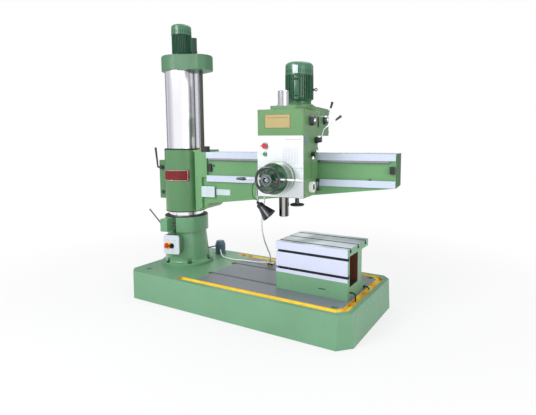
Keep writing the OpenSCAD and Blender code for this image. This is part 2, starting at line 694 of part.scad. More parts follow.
module lift_nut() color([0.72, 0.55, 0.25]) on_arm() translate([screw_at[0], screw_at[1], 0]) difference() {
    union() {
        rod(nut_r, [sleeve_top - nut_h, sleeve_top + 2]);
        rod(nut_r + 12, [sleeve_top, sleeve_top + 16]);
    }
    rod(lift_screw_d / 2 + run_gap, [sleeve_top - nut_h - cut, sleeve_top + 20]);
}
module column_wiper() color(black) on_arm() difference() {
    ring(sleeve_r - 4, column_r + run_gap, [sleeve_top, sleeve_top + 8]);
    translate([screw_at[0], screw_at[1], 0]) rod(nut_r + 15, [sleeve_top - cut, sleeve_top + 20]);
}

// Rack under the upper way, in mesh with the pinion of the head
pinion_x = head_reach + feed_offset;
rack_pinion_r = rack_module * rack_pinion_teeth / 2;
rack_pitch_z = way_top - way_h - 19;
rack_pinion_z = rack_pitch_z - rack_pinion_r;
rack_front = arm_front - 1;
module arm_rack() color(grey) on_arm() translate([0, web_y, rack_pitch_z]) mirror([0, 0, 1])
    rotate([90, 0, 0]) linear_extrude(rack_front + web_y)
        polygon(rack_outline(rack_module, way_start + 20, arm_reach - 60, pinion_x,
            rack_pitch_z - way_top + way_h));
module rack_pinion() color(grey) on_arm() {
    translate([pinion_x, -arm_front + 22, rack_pinion_z]) rotate([90, 0, 0])
        linear_extrude(20) polygon(gear_outline(rack_module, rack_pinion_teeth, 90));
    rod_y(12, pinion_x, [-arm_front - 52, -arm_front + 2.5], rack_pinion_z);
}
module arm_end_stop() color(black) on_arm() {
    block([arm_reach - 49, arm_reach - 6], [-arm_front - 17, web_y], [way_bottom + way_h + 59, way_top - way_h - 48]);
    translate([arm_reach - 220, -arm_front + 8, 0]) {
        rod(6, [way_bottom + way_h, way_bottom + way_h + 12]);
        rod(9, [way_bottom + way_h + 3, way_bottom + way_h + 9]);
    }
}
module arm_switches() color(black) on_arm() {
    block([way_start + 7, way_start + 53], [web_y - 20, web_y], [1257, 1332]);
    rod_y(7, way_start + 75, [web_y - 8, web_y], 1315);
    block([way_start - 56, way_start + 4], [-arm_front, -arm_front + 62], [way_top, way_top + 56]);
}
plate_arc = [-150, -43];
module sleeve_plate() color([0.45, 0.03, 0.05]) on_arm() translate([0, 0, 1151]) rotate([0, 0, plate_arc[0]])
    rotate_extrude(angle = plate_arc[1] - plate_arc[0]) translate([sleeve_r, 0]) square([3, 112]);
module arm_plates() color([0.85, 0.9, 0.86]) on_arm() {
    block([way_start - 61, way_start + 88], [-arm_front - 2, -arm_front], [1004, 1112]);
    block([way_start + 90, way_start + 248], [web_y - 2, web_y], [1027, 1084]);
}
module arm_clamp_lever() color(black) on_arm() {
    rod_y(arm_bolt_r, arm_bolt_x, [-70, 62], arm_bolt_z[1]);
    rod_y(22, arm_bolt_x, [-88, -62 - face_gap], arm_bolt_z[1]);
    rod_x(8, [arm_bolt_x - 44, arm_bolt_x], -78, arm_bolt_z[1]);
    translate([arm_bolt_x - 44, -78, arm_bolt_z[1]]) sphere(r = 8, $fn = 48);
    translate([arm_bolt_x - 44, -78, arm_bolt_z[1]]) rotate([0, -6, 0]) rod(8, [0, 208], 11);
}

// Drill head
head_x = [head_reach - head_w / 2, head_reach + head_w / 2];
head_rear = head_front - head_d;
saddle_x = [head_reach - 168, head_reach + 172];
quill_r = quill_d / 2;
quill_top = feed_z + 348;
rack_pitch_x = feed_offset + hub_module * hub_teeth - quill_module * quill_pinion_teeth / 2;
pinion_shaft_x = pinion_x + hub_module * hub_teeth;
panel_t = 3;
head_fillet = 24;
module head_side() {
    polygon(concat([[-head_front, head_bottom], [-head_rear, head_bottom], [-head_rear, housing_bottom]],
        [for (a = [-90:15:0]) [head_back - head_fillet + head_fillet * cos(a),
            housing_bottom + head_fillet + head_fillet * sin(a)]],
        [[head_back, head_top], [-head_front, head_top]]));
}
motor_boss_h = 30;
rear_front = 240;
rear_rise = 38;
module head() color(housing_green) on_arm() difference() {
    union() {
        intersection() {
            translate([head_x[0] - cut, 0, 0]) rotate([90, 0, 90]) linear_extrude(head_w + 2 * cut) head_side();
            translate([head_reach, (head_back - head_front) / 2, head_bottom - cut])
                linear_extrude(head_top - head_bottom + 2 * cut)
                    rounded(head_w, head_front + head_back, 12);
        }
        // Saddle that runs on the ways of the arm, hooked over the top
        block(saddle_x, [-head_rear - cut, -arm_front - face_gap], [way_bottom - 40, way_top + 52]);
        block(saddle_x, [-arm_front - face_gap - cut, hook_slot_y[1] - 2], [way_top + face_gap, way_top + 52]);
        block(saddle_x, [hook_slot_y[0] + 2, hook_slot_y[1] - 2], [way_top - hook_slot_d + 4, way_top + cut]);
        block(saddle_x, [-arm_front - face_gap - cut, web_y - 4], [way_bottom - 40, way_bottom - face_gap]);
        // Raised back of the gear housing
        translate([head_reach, (head_back - rear_front) / 2, head_top - cut])
            linear_extrude(rear_rise + cut) rounded(head_w, head_back + rear_front, 12);
        // Raised seat of the motor and the spindle cover
        translate([head_reach + 20, -260, head_top - cut]) linear_extrude(motor_boss_h + cut)
            rounded(236, 600, 20);
        translate([head_reach, -motor_v, 0]) {
            rod(146, [head_top + motor_boss_h - cut, head_top + motor_boss_h + 26]);
            rod(128, [head_top + motor_boss_h + 25, motor_z], 104);
        }
    }
    translate([head_reach, -spindle_v, 0]) {
        rod(quill_r + run_gap, [head_bottom - cut, quill_top + 10]);
        rod(27, [quill_top, head_top + motor_boss_h + cut]);
    }
    // Pocket and bearings of the feed pinion
    rod_y(24, pinion_shaft_x, [-spindle_v - 40, -spindle_v + 20], feed_z);
    rod_y(shaft_r + run_gap, pinion_shaft_x, [-head_front - cut, -spindle_v + 40], feed_z);
    rod_y(wheel_shaft_r + run_gap, pinion_x, [-head_front - cut, -head_front + 16], feed_z);
    rod_y(12 + run_gap, pinion_x, [-arm_front - 54, -arm_front + cut], rack_pinion_z);
    for (z = button_z) rod_y(button_r - 2, button_x, [-head_front - cut, -head_front + 14], z);
    for (c = side_controls) rod_x(c[2] + run_gap, [head_x[1] - 26, head_x[1] + cut], c[0], c[1]);
    translate([fine_x, -fine_v, 0]) rod(shaft_r + run_gap, [head_bottom - cut, head_bottom + 40]);
}
motor_z = head_top + motor_boss_h + 47;
module front_panel() color([0.93, 0.93, 0.95]) on_arm() difference() {
    translate([head_reach, -head_front, (head_bottom + housing_bottom) / 2]) rotate([90, 0, 0])
        linear_extrude(panel_t) rounded(head_w - 4, housing_bottom - head_bottom - 8, 6);
    rod_y(shaft_r + 1, pinion_shaft_x, [-head_front - 10, -head_front + 1], feed_z);
    rod_y(wheel_shaft_r + 1, pinion_x, [-head_front - 10, -head_front + 1], feed_z);
    for (z = button_z) rod_y(button_r - 2, button_x, [-head_front - 10, -head_front + 1], z);
}
module name_plate() color([0.80, 0.68, 0.35]) on_arm()
    translate([head_reach - 22, -head_front, head_top - 96]) rotate([90, 0, 0]) linear_extrude(2)
        rounded(224, 112, 4);

// Motors and cover on the head
motor_r = motor_d / 2;
motor_fan_z = round(motor_z + motor_h * (1 - fan_h));
module main_motor() color(motor_green) on_arm() translate([head_reach, -motor_v, 0]) {
    motor_body(motor_r, [motor_z, motor_fan_z], motor_r * 0.84, 14, 40);
    // Boss of the lifting eye
    rod_x(13, [motor_r * 0.8, motor_r + 2], eye_y, eye_z);
}
eye_y = 20;
eye_z = motor_z + 122;
module lifting_eye() color(grey) on_arm() translate([head_reach, -motor_v, 0]) {
    rod_x(7, [motor_r + 2, motor_r + 14], eye_y, eye_z);
    translate([motor_r + 24, eye_y, eye_z]) rotate([0, 90, 0]) rotate([90, 0, 0])
        rotate_extrude() translate([11, 0]) circle(4.5, $fn = 24);
}
module main_fan_cover() color(motor_green) on_arm() translate([head_reach, -motor_v, 0])
    fan_cover(motor_r * 0.985, [motor_fan_z, motor_z + motor_h]);
cover_top = head_top + motor_boss_h + 124;
module spindle_cover() color(bright) on_arm() translate([head_reach, -spindle_v, 0]) rotate_extrude() {
    z0 = head_top + motor_boss_h;
    r = cover_d / 2;
    difference() {
        polygon([[0, z0], [r + 10, z0], [r + 10, z0 + 6], [r, z0 + 6], [r, cover_top - 5],
            [r - 5, cover_top], [0, cover_top]]);
        translate([-1, z0 - 1]) square([r - 3, cover_top - z0 - 4]);
    }
}
sight_at = [-408, 1172];
module sight_glass() color([0.9, 0.92, 0.9]) on_arm() difference() {
    rod_x(46, [head_x[1], head_x[1] + 30], sight_at[0], sight_at[1]);
    rod_x(28, [head_x[1] + 18, head_x[1] + 31], sight_at[0], sight_at[1]);
}

// Quill with its rack, spindle and bearings
nose_r = 34;
spindle_r = [27, 19];
quill_step_z = feed_z - 40;
module at_spindle() on_arm() translate([head_reach, -spindle_v, 0]) children();
quill_rack_z = [feed_z - 24, quill_top - 6];
module quill() color(bright) at_spindle() difference() {
    rod(quill_r, [nose_z + 6, quill_top]);
    rod(quill_r - 9, [nose_z + 5, quill_step_z]);
    rod(quill_r - 18, [nose_z + 5, quill_top + cut]);
    rod(nose_r + 0.5, [nose_z + 5, nose_z + 42]);
    // Teeth cut in the side that faces the feed pinion
    intersection() {
        block([rack_pitch_x - 1.15 * quill_module, quill_r + cut], [-17, 17], quill_rack_z);
        translate([rack_pitch_x, 17, 0]) rotate([90, 0, 0]) linear_extrude(34) difference() {
            translate([-1.15 * quill_module, quill_rack_z[0]]) square([20, quill_rack_z[1] - quill_rack_z[0]]);
            mirror([1, -1]) polygon(rack_outline(quill_module, quill_rack_z[0] - 10, quill_rack_z[1] + 10,
                feed_z, -1.15 * quill_module - 4));
        }
    }
}
module spindle_bearings() color(grey) at_spindle() {
    ring(quill_r - 9, spindle_r[0] + run_gap, [nose_z + 60, nose_z + 120]);
    ring(quill_r - 18, spindle_r[1] + run_gap, [quill_top - 46, quill_top - 6]);
}
module spindle() color(bright) at_spindle() difference() {
    union() {
        rod(nose_r, [nose_z, nose_z + 40]);
        rod(spindle_r[0], [nose_z + 39, nose_z + 190]);
        rod(spindle_r[1], [nose_z + 189, cover_top - 30]);
    }
    rod(taper_d / 2, [nose_z, nose_z + 120], taper_d / 2 - 3);
    rod(taper_d / 2, [nose_z - cut, nose_z + 0.1]);
    block([-28, 28], [-6.5, 6.5], [nose_z + 100, nose_z + 145]);
}

// Feed: housing, dial, hub, levers and pinion
drum_r = drum_d / 2;
dial_r = dial_d / 2;
shaft_r = 10;
hub_r = 30;
wheel_shaft_r = 12;
feed_y = -head_front - panel_t;
housing_y = feed_y - 62;
dial_y = housing_y - 22;
hub_y = dial_y - 73;
boss_y = hub_y - 42;
wheel_y = -835;
gear_y = feed_y - 40;
module feed_housing() color(housing_green) on_arm() difference() {
    rod_y(drum_r, pinion_x, [housing_y, feed_y], feed_z);
    rod_y(drum_r - 26, pinion_x, [housing_y + 16, feed_y + cut], feed_z);
    rod_y(hub_r + run_gap, pinion_x, [housing_y - cut, feed_y], feed_z);
}
module feed_hub() color(housing_green) on_arm() difference() {
    union() {
        rod_y(drum_r - 4, pinion_x, [hub_y, dial_y], feed_z);
        rod_y(58, pinion_x, [dial_y - cut, housing_y - face_gap], feed_z);
        rod_y(hub_r, pinion_x, [dial_y, gear_y - 5], feed_z);
        rod_y(19, pinion_x, [gear_y - 6, gear_y + 2], feed_z);
        rod_y(44, pinion_x, [boss_y, hub_y + cut], feed_z);
        translate([pinion_x, gear_y + 16, feed_z]) rotate([90, 0, 0]) linear_extrude(16)
            polygon(gear_outline(hub_module, hub_teeth, 0));
    }
    rod_y(wheel_shaft_r + run_gap, pinion_x, [boss_y - cut, feed_y + cut], feed_z);
    for (s = [-1, 1]) translate([pinion_x, boss_y + 20, feed_z]) rotate([0, s * 90, 0]) rotate([10, 0, 0])
        rod(9, [26, 60]);
    // Round recess in the front of the drum
    difference() {
        rod_y(drum_r - 16, pinion_x, [hub_y - cut, hub_y + 6], feed_z);
        rod_y(60, pinion_x, [hub_y - 2 * cut, hub_y + 7], feed_z);
    }
}
module feed_dial() color([0.82, 0.86, 0.84]) on_arm() difference() {
    rod_y(dial_r, pinion_x, [dial_y, housing_y - face_gap], feed_z);
    rod_y(58 + run_gap, pinion_x, [dial_y - cut, housing_y + cut], feed_z);
}
module feed_levers() color(bright) on_arm() for (s = [-1, 1])
    translate([pinion_x, boss_y + 20, feed_z]) rotate([0, s * 90, 0]) rotate([10, 0, 0]) {
        rod(9, [26, feed_lever_l - 86]);
        rod(9, [feed_lever_l - 87, feed_lever_l - 60], 14);
        rod(14, [feed_lever_l - 60, feed_lever_l - 12], 9);
        translate([0, 0, feed_lever_l - 12]) sphere(r = 9, $fn = 48);
    }
module feed_pinion() color(grey) on_arm() {
    rod_y(shaft_r, pinion_shaft_x, [gear_y + 1, -spindle_v + 38], feed_z);
    translate([pinion_shaft_x, gear_y + 16, feed_z]) rotate([90, 0, 0]) linear_extrude(16)
        polygon(gear_outline(hub_module, hub_teeth, 180 + 180 / hub_teeth));
    translate([pinion_shaft_x, -spindle_v + 15, feed_z]) rotate([90, 0, 0]) linear_extrude(30)
        polygon(gear_outline(quill_module, quill_pinion_teeth, 180));
}
// Handwheel that moves the head along the arm
wheel_rim = 11;
wheel_r = wheel_d / 2;
module handwheel() color(black) on_arm() {
    rod_y(wheel_shaft_r, pinion_x, [wheel_y - 6, -head_front + 14], feed_z);
    translate([pinion_x, wheel_y, feed_z]) rotate([90, 0, 0]) {
        rotate_extrude() translate([wheel_r - wheel_rim, 0]) circle(wheel_rim, $fn = 32);
        translate([0, 0, -16]) cylinder(h = 32, r1 = 26, r2 = 31);
        for (a = [105, 225, 345]) rotate([0, 0, a]) rotate([0, 90, 0]) translate([0, 0, 24])
            cylinder(h = wheel_r - wheel_rim - 24, r1 = 9, r2 = 7);
    }
}
// Fine feed wheel under the head
fine_x = head_reach + 79;
fine_v = 400;
fine_z = head_bottom - 81;
module fine_feed_wheel() color(black) on_arm() translate([fine_x, -fine_v, 0]) {
    rod(shaft_r, [fine_z - 8, head_bottom + 38]);
    rod(20, [fine_z + 8, head_bottom - face_gap], 15);
    translate([0, 0, fine_z]) rotate_extrude() translate([fine_wheel_d / 2 - 8, 0]) circle(8, $fn = 32);
    rod(22, [fine_z - 9, fine_z + 9]);
    for (a = [30, 150, 270]) rotate([0, 0, a]) translate([16, 0, fine_z]) rotate([0, 90, 0])
        cylinder(h = fine_wheel_d / 2 - 24, r = 6);
}

// Push buttons on the panel
button_x = head_reach - 132;
button_z = [1517, 1449];
button_r = 13;
button_travel = 5;
module push_button(z, cap_r, cap_h) on_arm() {
    rod_y(button_r - 2 - face_gap, button_x, [feed_y - button_travel - 2, -head_front + 6], z);
    rod_y(cap_r, button_x, [feed_y - button_travel - cap_h, feed_y - button_travel - 1], z);
}
module stop_button() color([0.75, 0.08, 0.10]) push_button(button_z[0], 22, 16);
module start_button() color([0.10, 0.50, 0.22]) push_button(button_z[1], 14, 10);

// Controls on the right side of the head: y, z and shaft radius
knob_at = [-405, 1726];
speed_at = [-33, 1746];
gear_at = [-284, 1565];
selector_at = [-376, 1442];
head_clamp_at = [-256, 1216];
side_controls = [[knob_at[0], knob_at[1], 10], [speed_at[0], speed_at[1], 10],
    [gear_at[0], gear_at[1], 10], [selector_at[0], selector_at[1], 10],
    [head_clamp_at[0], head_clamp_at[1], 8]];
module side_shaft(at, r) rod_x(r, [head_x[1] - 24, head_x[1] + 10], at[0], at[1]);
module on_side(at, out) translate([head_x[1] + out, at[0], at[1]]) children();
module speed_knob() color(black) on_arm() {
    side_shaft(knob_at, 10);
    rod_x(34, [head_x[1] + face_gap, head_x[1] + 9], knob_at[0], knob_at[1]);
    on_side(knob_at, 8) rotate([0, 90, 0]) cylinder(h = 28, r1 = 44, r2 = 39);
    on_side(knob_at, 35) rotate([0, 90, 0]) cylinder(h = 9, r1 = 17, r2 = 12);
}
module speed_lever() color(black) on_arm() {
    side_shaft(speed_at, 10);
    rod_x(43, [head_x[1] + face_gap, head_x[1] + 15], speed_at[0], speed_at[1]);
    on_side(speed_at, 14) rotate([0, 90, 0]) cylinder(h = 18, r1 = 41, r2 = 32);
    on_side(speed_at, 30) sphere(r = 16, $fn = 64);
    on_side(speed_at, 30) rotate([0, 16, 0]) {
        rod(6, [8, 120], 5);
        rod(9, [108, 168], 12);
    }
}
module gear_lever() color(black) on_arm() {
    side_shaft(gear_at, 10);
    rod_x(30, [head_x[1] + face_gap, head_x[1] + 22], gear_at[0], gear_at[1]);
    on_side(gear_at, 21) rotate([0, 90, 0]) cylinder(h = 34, r1 = 24, r2 = 20);
    on_side(gear_at, 46) rotate([8, 20, 0]) {
        rod(7, [12, 100], 5.5);
        translate([0, 0, 99]) sphere(r = 6, $fn = 32);
        translate([0, 0, 99]) rotate([-14, 34, 0]) {
            rod(5.5, [0, 130], 5);
            rod(8, [122, 184], 12);
        }
    }
}
module selector_lever() color(black) on_arm() {
    side_shaft(selector_at, 10);
    rod_x(24, [head_x[1] + face_gap, head_x[1] + 34], selector_at[0], selector_at[1]);
    on_side(selector_at, 26) rotate([28, 0, 0]) {
        rod_y(6, 0, [-56, 56], 0);
        for (s = [-1, 1]) translate([0, s * 58, 0]) sphere(r = 15, $fn = 48);
    }
}
module head_clamp_lever() color(black) on_arm() {
    side_shaft(head_clamp_at, 8);
    rod_x(14, [head_x[1] + face_gap, head_x[1] + 30], head_clamp_at[0], head_clamp_at[1]);
    on_side(head_clamp_at, 21) {
        rod(5, [-76, 0]);
        translate([0, 0, -80]) sphere(r = 17, $fn = 48);
    }
}

// Lamp, its bent arm and its cable
lamp_at = [head_reach - 215, -560, 1040];
lamp_arm_route = smooth([[head_x[0], -540, 1150], [head_x[0] - 14, -544, 1148], [head_x[0] - 22, -552, 1128],
    [head_x[0] - 18, -559, 1100], [head_x[0] - 12, -560, 1080], [lamp_at[0], lamp_at[1], lamp_at[2] + 22]], 2);
module lamp_arm() color(grey) on_arm() {
    hose(lamp_arm_route, 11, 10);
    rod_x(16, [head_x[0] - 6, head_x[0]], -540, 1150);
    translate([lamp_at[0], lamp_at[1], 0]) rod(9, [lamp_at[2] + 11.8, lamp_at[2] + 28]);
}
shade_tilt = 135;
module lamp_shade() color(black) on_arm() translate(lamp_at) {
    sphere(r = 11.5, $fn = 48);
    rod_y(4, 0, [-15, 15], 0);
    rotate([0, shade_tilt, 0]) rotate_extrude() polygon([[0, 4], [14, 4], [14, 12], [24, 16], [30, 26],
        [30, 52], [36, 70], [64, 150], [61, 150], [33, 72], [27, 60], [0, 60]]);
}
lamp_cable_route = [[1140, -520, 1240], [1127, -520, 1239], [1114, -523, 1235], [1102, -528, 1227],
    [1091, -534, 1215], [1082, -540, 1200], [1076, -545, 1182], [1073, -550, 1162], [1073, -554, 1142],
    [1075, -557, 1122], [1079, -559, 1103], [1087, -560, 1085], [1097, -560, 1072], [1108, -560, 1064],
    [1120, -560, 1060]];
module lamp_cable() color(black) on_arm() hose(smooth(lamp_cable_route, 2), 6, 8);

// Coolant hoses: along the deck to the tap, and hanging from the head down to the tap
deck_hose_route = [[159, 342, 330], [180, 320, 328], [200, 301, 315], [223, 286, 295], [252, 273, 281],
    [300, 258, 278], [350, 248, 278], [400, 242, 278], [450, 244, 278], [500, 253, 279.4], [560, 263, 280],
    [620, 270, 280], [680, 275, 280], [730, 276, 282], [765, 274, 287], [797, 270, 293], [825, 267, 297],
    [850, 266, 298]];
module deck_hose() color([0.9, 0.92, 0.9]) hose(smooth(deck_hose_route, 2), 14, 8);
hose_route = [[1148, -470, 1095], [1148, -470, 1060], [1142, -467, 1020], [1128, -457, 970],
    [1109, -438, 915], [1089, -409, 855], [1069, -367, 790], [1049, -312, 722], [1029, -247, 655],
    [1008, -174, 592], [986, -98, 535], [963, -28, 489], [943, 34, 451], [930, 80, 422], [922, 109, 394],
    [919, 123.4, 368], [918.1, 128, 350], [918, 128.6, 341], [918, 128.6, 330.3]];
module coolant_hose() color([0.9, 0.92, 0.9]) on_arm() {
    hose(smooth(hose_route, 2), 14, 8);
}

base();
column_foot();
base_bolts();
inner_column();
column_bearings();
collar_seal();
switch_box();
power_switch();
pump_switch();
column_clamp_lever();
work_table();
coolant_pump();
coolant_tap();
tap_handle();
drain_tubes();
deck_hose();
column();
column_cap();
lift_motor();
lift_fan_cover();
lift_screw();
arm();
column_wiper();
lift_nut();
arm_rack();
arm_end_stop();
arm_switches();
sleeve_plate();
arm_plates();
arm_clamp_lever();
head();
front_panel();
name_plate();
feed_housing();
main_motor();
lifting_eye();
main_fan_cover();
spindle_cover();
sight_glass();
lamp_arm();
lamp_cable();
coolant_hose();
quill();
spindle_bearings();
spindle();
feed_hub();
feed_dial();
feed_levers();
feed_pinion();
handwheel();
rack_pinion();
fine_feed_wheel();
stop_button();
start_button();
speed_knob();
speed_lever();
gear_lever();
selector_lever();
head_clamp_lever();
lamp_shade();
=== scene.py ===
"""Radial arm drill: the looks of the machine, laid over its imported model."""

import math

import bmesh
import bpy
from mathutils import Matrix, Vector


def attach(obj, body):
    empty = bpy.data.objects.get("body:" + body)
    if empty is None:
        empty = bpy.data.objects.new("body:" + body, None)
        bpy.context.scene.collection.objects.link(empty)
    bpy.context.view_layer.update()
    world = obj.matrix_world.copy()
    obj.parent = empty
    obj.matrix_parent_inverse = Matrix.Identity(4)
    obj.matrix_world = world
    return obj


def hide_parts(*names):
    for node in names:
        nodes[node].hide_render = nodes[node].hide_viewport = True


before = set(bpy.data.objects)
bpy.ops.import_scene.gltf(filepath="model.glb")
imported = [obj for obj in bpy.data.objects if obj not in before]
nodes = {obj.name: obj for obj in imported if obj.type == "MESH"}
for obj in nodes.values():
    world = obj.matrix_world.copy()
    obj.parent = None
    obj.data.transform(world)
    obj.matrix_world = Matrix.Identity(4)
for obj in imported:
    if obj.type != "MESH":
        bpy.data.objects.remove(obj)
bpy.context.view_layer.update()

# The camera stands to the right of the machine and in front of it, at the height
# of the drill head, and looks a little down.
lens = bpy.data.cameras.new("camera")
lens.sensor_width = 36
lens.lens = 27.8
lens.shift_x = -0.0740
lens.shift_y = -0.0468
camera = bpy.data.objects.new("camera", lens)
camera.location = (3.2225, -3.2207, 1.5617)
camera.rotation_euler = (math.radians(84.2), 0, math.radians(28.54))
bpy.context.scene.collection.objects.link(camera)
bpy.context.scene.camera = camera
bpy.context.scene.view_settings.view_transform = "Standard"


# Studio floor: a plain white floor that fades into the white room, and keeps the
# soft shadow of the machine. The room is plain white for the camera and for metal.
def tint(red, green, blue):
    """A paint colour from the shop's card, as 0 to 255."""
    return tuple(((c / 255 + 0.055) / 1.055) ** 2.4 if c > 10 else c / 3294.6
                 for c in (red, green, blue)) + (1,)


def add(mat, kind, values=None, **settings):
    """Adds a shader node. A value is a plain setting, or the socket that feeds it."""
    made = mat.node_tree.nodes.new("ShaderNode" + kind)
    for name, value in settings.items():
        setattr(made, name, value)
    for name, value in (values or {}).items():
        if isinstance(value, bpy.types.NodeSocket):
            mat.node_tree.links.new(value, made.inputs[name])
        else:
            made.inputs[name].default_value = value
    return made


def maths(mat, operation, *values):
    """One sum, product or comparison of numbers and sockets."""
    return add(mat, "Math", dict(enumerate(values)), operation=operation).outputs[0]


def seen_plainly(mat):
    """1 for what the camera, metal and glass see, 0 for light that falls on things."""
    path = add(mat, "LightPath").outputs
    seen = maths(mat, "MAXIMUM", path["Is Camera Ray"], path["Is Glossy Ray"])
    return maths(mat, "MAXIMUM", seen, path["Is Transmission Ray"])


floor_size = 40
floor_mesh = bpy.data.meshes.new("floor")
floor_z = -0.0008
floor_corners = [(x * floor_size, y * floor_size, floor_z)
                 for x, y in ((-1, -1), (1, -1), (1, 1), (-1, 1))]
floor_mesh.from_pydata(floor_corners, [], [(0, 1, 2, 3)])
floor = bpy.data.objects.new("floor", floor_mesh)
bpy.context.scene.collection.objects.link(floor)
floor_white = bpy.data.materials.new("floor_white")
floor_white.use_nodes = True
floor_white.node_tree.nodes.clear()
floor_spot = add(floor_white, "TexCoord").outputs["Object"]
floor_way = add(floor_white, "VectorMath", {0: floor_spot, 1: (0.9, 0.0, 0.0)}, operation="DISTANCE")
fade_values = {"Value": floor_way.outputs["Value"], "From Min": 1.6, "From Max": 4.2,
               "To Min": 0.72, "To Max": 1.0}
floor_fade = add(floor_white, "MapRange", fade_values, interpolation_type="SMOOTHSTEP")
floor_share = maths(floor_white, "MULTIPLY", floor_fade.outputs[0], seen_plainly(floor_white))
floor_matt = add(floor_white, "BsdfDiffuse", {"Color": (0.86, 0.86, 0.86, 1)})
floor_glow = add(floor_white, "Emission", {"Color": (1, 1, 1, 1), "Strength": 1.0})
floor_mix = add(floor_white, "MixShader", {0: floor_share, 1: floor_matt.outputs[0],
                                           2: floor_glow.outputs[0]})
add(floor_white, "OutputMaterial", {"Surface": floor_mix.outputs[0]})
floor_mesh.materials.append(floor_white)

room = bpy.data.worlds.new("room")
bpy.context.scene.world = room
room.use_nodes = True
room.node_tree.nodes.clear()
room_light = add(room, "Background", {"Color": (0.97, 0.98, 1.0, 1), "Strength": 0.62})
room_white = add(room, "Background", {"Color": (1, 1, 1, 1), "Strength": 1.0})
room_mix = add(room, "MixShader", {0: seen_plainly(room), 1: room_light.outputs[0],
                                   2: room_white.outputs[0]})
add(room, "OutputWorld", {"Surface": room_mix.outputs[0]})


def soft_lamp(name, size, power, at, towards):
    """A square lamp of size metres, turned towards a point."""
    data = bpy.data.lights.new(name, "AREA")
    data.shape = "SQUARE"
    data.size = size
    data.energy = power
    lamp = bpy.data.objects.new(name, data)
    lamp.location = at
    lamp.rotation_euler = (Vector(towards) - Vector(at)).to_track_quat("-Z", "Y").to_euler()
    bpy.context.scene.collection.objects.link(lamp)


soft_lamp("front_lamp", 2.6, 190, (-0.6, -5.2, 4.2), (1.0, 0.0, 1.0))
soft_lamp("top_lamp", 3.0, 60, (1.6, 1.2, 5.6), (0.9, 0.0, 1.0))
soft_lamp("side_lamp", 2.4, 60, (5.6, -2.6, 1.8), (1.7, 0.0, 0.6))

# Grey screens round the machine that only bright metal sees: they give the column
# and the quill the upright streaks that a studio leaves in polished steel.
screen_reach, screen_foot, screen_top, screen_steps = 9, -0.5, 7.5, 8
screens = ((12, 60, 0.74), (69, 99, 0.24), (-180, -122, 0.68), (140, 178, 0.22))
for number, (from_deg, to_deg, grey) in enumerate(screens):
    arc = [math.radians(from_deg + (to_deg - from_deg) * k / screen_steps) for k in range(screen_steps + 1)]
    screen_mesh = bpy.data.meshes.new(f"screen_{number}")
    hems = [(screen_reach * math.cos(a), screen_reach * math.sin(a), z)
            for a in arc for z in (screen_foot, screen_top)]
    strips = [(2 * k, 2 * k + 1, 2 * k + 3, 2 * k + 2) for k in range(screen_steps)]
    screen_mesh.from_pydata(hems, [], strips)
    screen = bpy.data.objects.new(f"screen_{number}", screen_mesh)
    bpy.context.scene.collection.objects.link(screen)
    screen.visible_camera = False
    screen.visible_diffuse = False
    screen.visible_shadow = False
    screen.visible_transmission = False
    grey_cloth = bpy.data.materials.new(f"grey_cloth_{number}")
    grey_cloth.use_nodes = True
    grey_cloth.node_tree.nodes.clear()
    cloth_colour = (grey, grey * 0.97, grey * 1.06, 1)
    cloth_glow = add(grey_cloth, "Emission", {"Color": cloth_colour, "Strength": 1.0})
    add(grey_cloth, "OutputMaterial", {"Surface": cloth_glow.outputs[0]})
    screen_mesh.materials.append(grey_cloth)


# Coolant hoses and the lamp's cable: soft white plastic hose of 14 mm, pushed on
# brass stubs with worm clips, and a thin black flex that leaves a rubber gland.
arm_angle = 8.7
arm_turn = Matrix.Rotation(math.radians(arm_angle), 4, "Z")


def in_metres(points, arm=False):
    """Drawing millimetres to metres; the arm's own drawing is turned to the arm."""
    return [(arm_turn @ Vector(p) if arm else Vector(p)) / 1000 for p in points]


def turned(profile, at, way=(0, 0, 1), sides=48, closed=False):
    """A piece turned on the lathe: radius and height pairs along way."""
    way = Vector(way).normalized()
    side = way.orthogonal().normalized()
    over = way.cross(side)
    verts, faces, rings = [], [], []
    for radius, height in profile:
        count = 1 if radius < 1e-6 else sides
        rings.append([len(verts) + k for k in range(count)])
        for k in range(count):
            a = 2 * math.pi * (k + 0.5) / sides
            verts.append(Vector(at) + way * height + (side * math.cos(a) + over * math.sin(a)) * radius)
    for low, high in zip(rings, rings[1:] + rings[:1] if closed else rings[1:]):
        for k in range(sides):
            face = [low[k % len(low)], low[(k + 1) % sides % len(low)], high[(k + 1) % sides % len(high)],
                    high[k % len(high)]]
            face = [v for i, v in enumerate(face) if v not in face[:i]]
            if len(face) > 2:
                faces.append(face)
    return verts, faces


def skin(rings, sides):
    """Faces from each ring of a bar to the next."""
    faces = []
    for low in range(0, (rings - 1) * sides, sides):
        high = low + sides
        for k in range(sides):
            after = (k + 1) % sides
            faces.append([low + k, low + after, high + after, high + k])
    return faces


def bent_bar(points, radii, sides=16):
    """A round bar or tube drawn along points; radii is one size, or one for each point."""
    points = [Vector(p) for p in points]
    radii = radii if hasattr(radii, "__len__") else [radii] * len(points)
    verts = []
    side = (points[1] - points[0]).orthogonal().normalized()
    for i, (p, radius) in enumerate(zip(points, radii)):
        way = (points[min(i + 1, len(points) - 1)] - points[max(i - 1, 0)]).normalized()
        side = (side - way * side.dot(way)).normalized()
        over = way.cross(side)
        for k in range(sides):
            a = 2 * math.pi * k / sides
            verts.append(p + (side * math.cos(a) + over * math.sin(a)) * radius)
    ends = [list(range(sides)), list(range((len(points) - 1) * sides, len(points) * sides))]
    return verts, skin(len(points), sides) + ends


def together(*shapes):
    """Several shapes as one."""
    verts, faces = [], []
    for more_verts, more_faces in shapes:
        faces += [[v + len(verts) for v in face] for face in more_faces]
        verts += [Vector(v) for v in more_verts]
    return verts, faces


